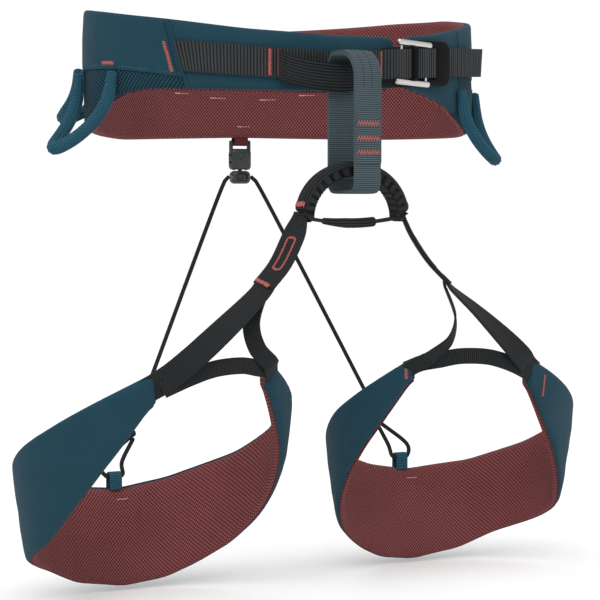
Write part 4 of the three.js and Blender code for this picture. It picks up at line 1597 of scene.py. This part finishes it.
# ---------- leg loops ----------
@dataclass(frozen=True)
class LegLoop:
    """One leg loop: its padded band, the straps that close it in front and its riser tab."""

    side: int
    word: str
    middle: tuple[float, float] = (117.0, -43.0)
    half_width: float = 98.5
    half_depth: float = 65.0
    ends: tuple[float, float] = (16.0, 321.0)
    lean: float = 9.0
    split: tuple[float, float, float] = (70.0, -112.0, -156.0)
    tab_y: float = 17.6
    tab_top: float = -289.0
    tab_half_gap: float = 2.6
    edging_in: float = 3.4
    creases: Pairs = (
        (152, 0.6), (166, 0.9), (173, 1.2), (181, 0.8), (189, 1.3), (197, 0.7), (214, 1.0), (236, 0.7)
    )
    top: Pairs = (
        (16, -211), (45, -233), (65, -248), (90, -264), (120, -283), (150, -297), (180, -302), (201, -296),
        (235, -278), (258, -260), (270, -249), (285, -238), (300, -226), (321, -208),
    )
    bottom: Pairs = (
        (16, -229), (30, -258), (45, -284), (60, -307), (75, -324), (105, -338), (135, -350), (155, -362),
        (180, -368), (200, -364), (215, -355), (235, -340), (253, -322), (270, -301), (285, -281),
        (300, -260), (310, -243), (321, -222),
    )

    def motion(self) -> Motion:
        """What the leg loop's pieces ride on."""
        return Motion(f"leg_loop_{self.word}")

    def name(self, piece: str) -> str:
        """A piece's name with the leg's side."""
        return f"{piece}_{self.word}"

    def build(self) -> None:
        """Makes the band, the straps and the tab."""
        oval = Oval(self.middle, self.half_width, self.half_depth, self.side)
        band = Band(
            oval, *self.ends, self.top, self.bottom, depth=8, rim=3.4, corner=1.5, lean=self.lean,
            seed=8.0 + self.side, creases=self.creases,
        )
        pad = band.pad(
            self.name("leg_pad"), 230, LINING, self.motion(), self.name("leg_lining"), self.name("leg_foam")
        )
        sides = (steady(self.ends[0]), steady(self.ends[1]))
        shell, place = band.cover(
            self.name("leg_cover"), sides, (band.hem, band.high), Rolled.BOTH, (230, 36)
        )
        dress(shell, SHELL, self.motion(), self.name("leg_shell"))
        angles = [mix(*self.ends, (i + 0.5) / 40) for i in range(40)]
        length = sum(oval.speed(angle) for angle in angles) * (self.ends[1] - self.ends[0]) / 40
        widths = [profile(self.top, angle) - profile(self.bottom, angle) + 8 for angle in angles]
        self.trim(band, place)
        self.straps()
        self.tab()

    def trim(self, band: Band, place: Place) -> None:
        """The thin edging under the shell, the bar tacks at its ends and the stitches in the lining."""
        line = []
        for i in range(161):
            angle = mix(self.ends[0] + 0.6, self.ends[1] - 0.6, i / 160)
            line.append(band.at(angle, -self.edging_in, band.low(angle) + 0.1))
        edging = tube(self.name("leg_edging"), line, round_section(1.1), 8)
        dress(edging, RED_TAPE, self.motion())
        tacks = []
        for start, end in (((0.03, 0.7), (0.03, 0.34)), ((0.988, 0.66), (0.988, 0.34))):
            tacks += SEWING.satin(SEWING.walk(place, [start, end], 0.75, 0.15), 3.2, 0.75, slant=0.35)
        SEWING.lay(self.name("leg_bar_tacks"), tacks, RED_THREAD, self.motion())
        inside = band.on_lining()
        centre = (180 - self.ends[0]) / (self.ends[1] - self.ends[0])
        rows = SEWING.satin(
            SEWING.walk(inside, [(centre - 0.008, 0.9), (centre + 0.008, 0.9)], 0.8, 0.1), 1.3, 0.55
        )
        SEWING.lay(self.name("leg_lining_stitches"), rows, PALE_THREAD, self.motion())

    def straps(self) -> None:
        """The strap from the bridge, its two strands and the keeper between the band's ends."""
        bends = Motion(
            "waist_belt", f"leg_loop_{self.word}", (self.side * 42, -105, -118), (self.side * 68, -112, -153)
        )
        edge_on = (*SIGHT, 0.0)
        way = ((38.4, -105, -108.5), (40.6, -105.2, -115), (46, -106.5, -126), (57, -110, -142), self.split)
        outward = (0.75, -0.4, 0.49)
        base = Strap(way, (18, 18), 3.0, (edge_on, edge_on), outward, self.side)

        def layer(depth: float, narrow: float) -> Place:
            """One of the strap's two layers, pinched where it leaves the bridge."""

            def place(s: float, t: float, lift: float) -> Vector:
                """A point on the layer's outer face."""
                pinch = 1 - 0.4 * math.exp(-((s / 0.17) ** 2)) - narrow
                wave = 0.3 * math.sin(s * 7)
                return base.place(s, 0.5 + (t - 0.5) * pinch, lift + wave - depth)

            return place

        front, back = layer(0.0, 0.0), layer(1.6, 0.06)
        node = self.name("leg_strap")
        dress(woven(self.name("leg_strap_front"), front, (60, 10), 1.5, 0.35), LEG_WEBBING, bends, node)
        dress(woven(self.name("leg_strap_back"), back, (60, 10), 1.4, 0.35), LEG_WEBBING, bends)
        self.racetrack(front, bends)

        outer = Strap(
            ((69, -112, -155), (74, -112.5, -161), (92, -115, -176), (116, -114.5, -196), (133, -111, -210),
             (142, -104.5, -217.5), (149, -100.5, -222)),
            (16, 17), 2.0, ((*SIGHT, 0.1), (0.5, -0.1, 0.86)), (0.3, -1.0, 0.3), self.side,
        )
        inner = Strap(
            ((70, -109.3, -157), (71, -108.5, -160), (78, -110, -180), (74, -110, -196), (62.5, -106, -206.5),
             (59, -101, -210.5), (56, -95.5, -213.5), (52, -89, -217.5)),
            (13, 11), 1.6, ((*SIGHT, 0.0), (0.42, 0.26, -0.87)), (0.1, -1.0, 0.2), self.side,
        )
        keeper = Strap(
            ((52.5, -87, -217), (57, -90.5, -214.5), (61, -96, -212), (70, -102.5, -210),
             (84, -107.5, -207.5), (104, -110.5, -208.5), (122, -110.5, -213.5), (140, -107.5, -221)),
            (11, 11), 1.6, ((0.0, 0.0, 1.0), (0.0, 0.0, 1.0)), (0.0, -1.0, 0.0), self.side,
        )
        for piece, strap, steps in (("outer", outer, 120), ("inner", inner, 100), ("keeper", keeper, 70)):
            node = self.name("leg_keeper" if piece == "keeper" else f"leg_strand_{piece}")
            made = woven(self.name(f"leg_web_{piece}"), strap.place, (steps, 8), strap.thick, 0.35)
            dress(made, LEG_WEBBING, self.motion(), node)

    def racetrack(self, front: Place, bends: Motion) -> None:
        """The long oval of close stitches on the strap, and the bar tack below it."""
        spots = []
        for i in range(25):
            turn = TURN * i / 24
            s = 0.54 + 0.16 * clamp(math.cos(turn) * 1.6, -1, 1) + 0.06 * math.cos(turn)
            spots.append((s, 0.47 + 0.18 * clamp(math.sin(turn) * 1.5, -1, 1)))
        oval = SEWING.satin(SEWING.walk(front, spots, 0.75, 0.15), 2.0, 0.7, slant=0.3)
        oval += SEWING.satin(SEWING.walk(front, [(0.995, 0.22), (0.955, 0.92)], 0.75, 0.15), 3.4, 0.8)
        SEWING.lay(self.name("leg_strap_tacks"), oval, RED_THREAD, bends)

    def tab(self) -> None:
        """The folded tab on the back of the band that the riser's end loop passes through."""
        middle = RISER_TABS[self.word] * self.side
        foot = profile(self.top, 180) + 0.6
        half = self.tab_half_gap + 1.4
        rise = self.tab_top - half - foot
        total = 2 * rise + math.pi * half

        def place(s: float, t: float, lift: float) -> Vector:
            """A point on the folded tape's outer face."""
            gone = s * total
            out = half + lift
            if gone < rise:
                y, z = -out, foot + gone
            elif gone > total - rise:
                y, z = out, foot + total - gone
            else:
                turn = math.pi - (gone - rise) / half
                y, z = out * math.cos(turn), foot + rise + out * math.sin(turn)
            return Vector((middle + (t - 0.5) * 9, self.tab_y + y, z)) * MM

        tape = woven(self.name("leg_tab_tape"), place, (44, 8), 1.4, 0.3)
        dress(tape, LOOP_SLEEVE, self.motion(), self.name("leg_riser_tab"))


RISER_TABS = {"right": 121.0, "left": 110.0}


# ---------- rear risers ----------
@dataclass(frozen=True)
class Riser:
    """The side-release buckle behind the belt and the two elastic cords from it to the leg loops."""

    middle: tuple[float, float] = (6.0, 76.0)
    socket: tuple[float, float] = (-79.0, -63.0)
    plug_end: float = -89.0
    wide: float = 17.0
    deep: float = 8.0
    cord: float = 3.0
    knot_share: float = 0.865
    knot_size: float = 0.95
    ear: tuple[float, float, float] = (2.4, 3.6, 8.5)
    ear_out: float = 7.3
    pocket: tuple[float, float, float] = (9.2, 5.4, 6.2)
    prong_out: float = 5

    def build(self) -> None:
        """Makes the tab, the buckle and both cords."""
        self.build_tab()
        self.build_socket()
        self.build_plug()
        for side, word in ((-1, "right"), (1, "left")):
            self.build_cord(side, word)

    def build_tab(self) -> None:
        """The red tape that hangs the buckle on the belt."""
        x, y = self.middle
        top, half = -54.0, 3.0
        rise = 7 - half
        total = 2 * rise + math.pi * half

        def place(s: float, t: float, lift: float) -> Vector:
            """A point on the folded tape's outer face."""
            gone = s * total
            out = half + lift
            if gone < rise:
                depth, z = -out, top - gone
            elif gone > total - rise:
                depth, z = out, top - total + gone
            else:
                turn = math.pi + (gone - rise) / half
                depth, z = out * math.cos(turn), top - rise + out * math.sin(turn)
            return Vector((x + (t - 0.5) * 11, y + depth, z)) * MM

        dress(woven("riser_tab_tape", place, (40, 8), 1.3, 0.3), RED_TAPE, BELT, "riser_tab")

    def build_socket(self) -> None:
        """The buckle's socket: a shell with side windows, ears and a bar for the tape."""
        x, y = self.middle
        low, high = self.socket
        tall = high - low
        centre = (low + high) / 2
        shell = block("riser_buckle_socket", (self.wide, self.deep, tall), (x, y, centre), 3.2, 5)
        for side in (-1, 1):
            ear = block("ear", self.ear, (x + side * self.ear_out, y, high + 1.9), 1.15, 4)
            combine(shell, ear, "UNION")
        combine(shell, block("bar", (15, 2.0, 2.0), (x, y, high + 4), 0.6, 2), "UNION")
        combine(shell, block("hollow", (14, 5, tall), (x, y, low + tall / 2 - 2), 0.8), "DIFFERENCE")
        combine(shell, block("windows", (self.wide + 2, 5, 7), (x, y, high - 7.5), 1.2), "DIFFERENCE")
        for depth in (-1, 1):
            dent = rod("dent", 2.6, 1.2, (x, y + depth * self.deep / 2, centre + 2), "Y", 24)
            combine(shell, dent, "DIFFERENCE")
        smooth(shell, 40.0)
        dress(shell, BLACK_PLASTIC, BELT, "riser_socket")

    def build_plug(self) -> None:
        """The plug with its oval pockets and middle tongue, and its two spring prongs."""
        x, y = self.middle
        base = self.socket[0] - GAP
        tall = base - self.plug_end
        plug = block("riser_buckle_plug", (self.wide - 1, self.deep, tall), (x, y, base - tall / 2), 3.4, 5)
        combine(plug, block("tongue", (2.4, 3.4, 12), (x, y, base + 4), 0.6, 2), "UNION")
        for depth in (-1, 1):
            middle = (x, y + depth * self.deep / 2, base - tall / 2 + 0.2)
            combine(plug, block("pocket", self.pocket, middle, 2.6, 5), "DIFFERENCE")
        for side in (-1, 1):
            groove = rod("groove", 1.9, self.deep + 4, (x + side * 8.6, y, self.plug_end + 4.5), "Y")
            combine(plug, groove, "DIFFERENCE")
        smooth(plug, 40.0)
        dress(plug, BLACK_PLASTIC, BELT, "riser_plug")
        high = self.socket[1] - 5
        for side, word in ((-1, "right"), (1, "left")):
            middle = (x + side * self.prong_out, y, (high + base + 0.5) / 2)
            arm = block(f"riser_buckle_prong_{word}", (1.8, 3.4, high - base - 0.5), middle, 0.6, 2)
            combine(arm, block("hook", (2.8, 3.4, 4.8), (x + side * 6.6, y, high - 2.4), 0.9), "UNION")
            smooth(arm, 40.0)
            dress(arm, BLACK_PLASTIC, Motion(f"riser_prong_{word}"), f"riser_prong_{word}")

    def build_cord(self, side: int, word: str) -> None:
        """One elastic cord, the knot near its end and the loop through the leg loop's tab."""
        leg = LegLoop(side, word)
        hold = Vector((side * RISER_TABS[word], leg.tab_y, leg.tab_top - 1.4 - leg.tab_half_gap))
        start = Vector((self.middle[0] + side * (self.wide / 2 + 1), self.middle[1], self.plug_end + 5))
        knot = start.lerp(hold, self.knot_share)
        bow = start.lerp(knot, 0.12) + Vector((side * 1.5, 0, 1.5))
        way = [spot * MM for spot in (start, bow, start.lerp(knot, 0.99))]
        line = evenly(way, 40)
        cord = tube(f"riser_elastic_{word}", line, round_section(self.cord), 12)
        first, last = start.lerp(knot, 0.05), start.lerp(knot, 0.99)
        stretch = Motion("waist_belt", f"leg_loop_{word}", tuple(first), tuple(last))
        dress(cord, CORD, stretch, f"riser_cord_{word}")

        legs = leg.motion()
        turns = []
        for i in range(64):
            t = TURN * i / 62
            across, deep = math.sin(t) + 2 * math.sin(2 * t), math.sin(3 * t) * -1.3
            high = math.cos(t) - 2 * math.cos(2 * t)
            turns.append((knot + Vector((across, deep, high)) * self.knot_size) * MM)
        ball = dress(
            tube(f"riser_knot_{word}_cord", turns, round_section(2.7), 10), CORD, legs, f"riser_knot_{word}"
        )
        x, deep = hold.x, mix(knot.y, leg.tab_y, 0.6)
        ends = [knot + Vector((across, 0, -3.4)) for across in (-2.0, 2.0)]
        way = [
            ends[0], Vector((x - 8.4, deep, hold.z + 10)), Vector((x - 6.5, leg.tab_y, hold.z + 1.5)), hold,
            Vector((x + 6.5, leg.tab_y, hold.z + 1.5)), Vector((x + 7.4, deep, hold.z + 10)), ends[1],
        ]
        loop = tube(
            f"riser_end_loop_{word}", evenly([spot * MM for spot in way], 70), round_section(self.cord), 12
        )
        dress(loop, CORD, legs, f"riser_loop_{word}")
        round(length_of(line), 3)


# ---------- gear loops ----------
@dataclass(frozen=True)
class HungLoop:
    """A stiff loop hung on the belt: it drops, swings outward and rises again."""

    name: str
    start: float
    end: float
    height: float
    drop: float
    flare: float

    def line(self, count: int) -> list[Vector]:
        """The loop's centre line, in metres."""
        path = []
        for i in range(25):
            share = i / 24
            sag = math.sin(share * math.pi) ** 0.6 if 0 < share < 1 else 0.0
            angle = mix(self.start, self.end, share)
            path.append(WAIST.point(angle, 4 + self.flare * sag**2.5, self.height - self.drop * sag))
        return evenly(path, count)

    def outward(self) -> Vector:
        """The direction away from the belt at the loop's middle."""
        angle = (self.start + self.end) / 2
        return (WAIST.point(angle, 10, 0) - WAIST.point(angle, 0, 0)).normalized()


@dataclass(frozen=True)
class GearLoops:
    """Four gear loops in ribbed sleeves with their tapes, and the haul loop behind."""

    loops: tuple[HungLoop, ...] = (
        HungLoop("gear_loop_front_right", -70, -97, -16, 50, 27),
        HungLoop("gear_loop_rear_right", -108, -136, -12, 32, 18),
        HungLoop("gear_loop_front_left", 48, 80, -24, 48, 15),
        HungLoop("gear_loop_rear_left", 94, 124, -12, 32, 18),
    )
    haul: HungLoop = HungLoop("haul_loop", 172, 188, 2, 34, 6)
    across: tuple[float, float] = (3.7, 4.2)

    def section(self, share: float, turn: float) -> tuple[float, float]:
        """The sleeve's section: an oval with ribs along it, thinner where it enters the belt."""
        rib = 1 + 0.06 * math.cos(10 * turn)
        fade = 0.8 + 0.2 * clamp(min(share, 1 - share) * 9)
        return self.across[0] * math.cos(turn) * rib * fade, self.across[1] * math.sin(turn) * rib * fade

    def build(self) -> None:
        """Makes every loop."""
        for loop in self.loops:
            line, up, motion = loop.line(110), loop.outward(), Motion(loop.name)
            dress(tube(loop.name + "_sleeve", line, self.section, 60, up), LOOP_SLEEVE, motion, loop.name)
            surface = on_tube(line, self.section, up)
            rows = []
            for t in (0.17, 0.33, 0.67, 0.83):
                rows += SEWING.running(SEWING.walk(surface, [(0.06, t), (0.94, t)], 2.4, 0.12), 1.4, 0.6)
            SEWING.lay(loop.name + "_stitches", rows, BRIGHT_THREAD, motion)
            self.tape(loop, motion)
        line = self.haul.line(70)
        haul = tube("haul_loop_cord", line, round_section(5.0), 16, self.haul.outward())
        dress(haul, CORD, Motion("haul_loop"), "haul_loop")

    def tape(self, loop: HungLoop, motion: Motion) -> None:
        """The flat ribbed tape at the loop's rear end, between it and the belt."""
        way = 1 if loop.end > loop.start else -1

        def place(s: float, t: float, lift: float) -> Vector:
            """A point on the tape's outer face."""
            angle = loop.end + way * (0.4 + (t - 0.5) * 4.6 * mix(1.0, 0.7, s))
            z = mix(loop.height + 4.0, loop.height - loop.drop * 0.55, s)
            out = 2.0 + loop.flare * 0.35 * s**2
            return WAIST.point(angle, out + lift, z)

        dress(woven(loop.name + "_tape", place, (50, 10), 1.3, 0.3), LOOP_SLEEVE, motion)


# ---------- studio ----------
@dataclass(frozen=True)
class Studio:
    """The pale floor, the soft lights and the camera."""

    azimuth: float = -28.0
    elevation: float = 3.0
    distance: float = 1.520
    aim: tuple[float, float, float] = (0.0145, -0.0032, -0.172)
    lens: float = 127.7
    floor: float = -0.3705

    def build(self) -> None:
        """Makes the floor, the lights, the sky and the camera."""
        self.make_floor()
        self.light("key", (-1.3, -1.6, 1.5), 1.4, 12.0)
        self.light("fill", (1.6, -1.2, 0.5), 1.6, 3.0)
        self.light("rim", (0.3, 1.7, 1.3), 1.2, 4.0)
        self.overhead()
        self.sky()
        azimuth, elevation = math.radians(self.azimuth), math.radians(self.elevation)
        back = Vector(
            (
                math.sin(azimuth) * math.cos(elevation),
                -math.cos(azimuth) * math.cos(elevation),
                math.sin(elevation),
            )
        )
        lens = bpy.data.cameras.new("camera")
        lens.lens, lens.sensor_width = self.lens, 36.0
        lens.clip_start, lens.clip_end = 0.05, 50.0
        camera = bpy.data.objects.new("camera", lens)
        bpy.context.scene.collection.objects.link(camera)
        camera.location = Vector(self.aim) + back * self.distance
        camera.rotation_mode = "QUATERNION"
        camera.rotation_quaternion = (-back).to_track_quat("-Z", "Y")
        bpy.context.scene.camera = camera

    def make_floor(self) -> None:
        """The floor: one large pale plane."""
        deselect()
        bpy.ops.mesh.primitive_plane_add(size=30.0, location=(0, 0, self.floor))
        floor = bpy.context.object
        floor.name = "floor"
        material = bpy.data.materials.new("floor")
        material.use_nodes = True
        shader = material.node_tree.nodes["Principled BSDF"]
        shader.inputs["Base Color"].default_value = (0.93, 0.93, 0.93, 1.0)
        shader.inputs["Roughness"].default_value = 0.9
        floor.data.materials.append(material)

    def light(self, name: str, place: tuple[float, float, float], size: float, power: float) -> None:
        """One square soft light that faces the harness."""
        lamp = bpy.data.lights.new(name, "AREA")
        lamp.size, lamp.energy = size, power
        made = bpy.data.objects.new(name, lamp)
        bpy.context.scene.collection.objects.link(made)
        made.location = place
        made.rotation_mode = "QUATERNION"
        made.rotation_quaternion = (Vector(self.aim) - Vector(place)).to_track_quat("-Z", "Y")

    def overhead(self) -> None:
        """A broad even light from above that keeps the floor pale to its far edge."""
        lamp = bpy.data.lights.new("overhead", "SUN")
        lamp.energy, lamp.angle = 1.5, math.radians(70)
        made = bpy.data.objects.new("overhead", lamp)
        bpy.context.scene.collection.objects.link(made)
        made.rotation_euler = (math.radians(22), math.radians(-18), 0)

    def sky(self) -> None:
        """An even white sky, seen brighter than it lights."""
        scene = bpy.context.scene
        scene.view_settings.view_transform = "Standard"
        scene.world = bpy.data.worlds.new("sky")
        scene.world.use_nodes = True
        graph = Graph(scene.world.node_tree)
        back = scene.world.node_tree.nodes["Background"]
        back.inputs["Color"].default_value = (1.0, 1.0, 1.0, 1.0)
        seen = graph.node("ShaderNodeLightPath").outputs["Is Camera Ray"]
        graph.feed(back.inputs["Strength"], graph.math("MULTIPLY_ADD", seen, 0.35, 0.68))


def main() -> None:
    """Builds the harness and its studio."""
    logging.basicConfig(level=logging.INFO, format="%(message)s")
    Studio().build()
    WaistPad().build()
    WaistWebbing().build()
    TieIn().build()
    Buckle().build()
    Bridge().build()
    for side, word in ((-1, "right"), (1, "left")):
        LegLoop(side, word).build()
    Riser().build()
    GearLoops().build()
    bpy.context.view_layer.update()
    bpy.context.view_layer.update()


if __name__ == "__main__":
    main()
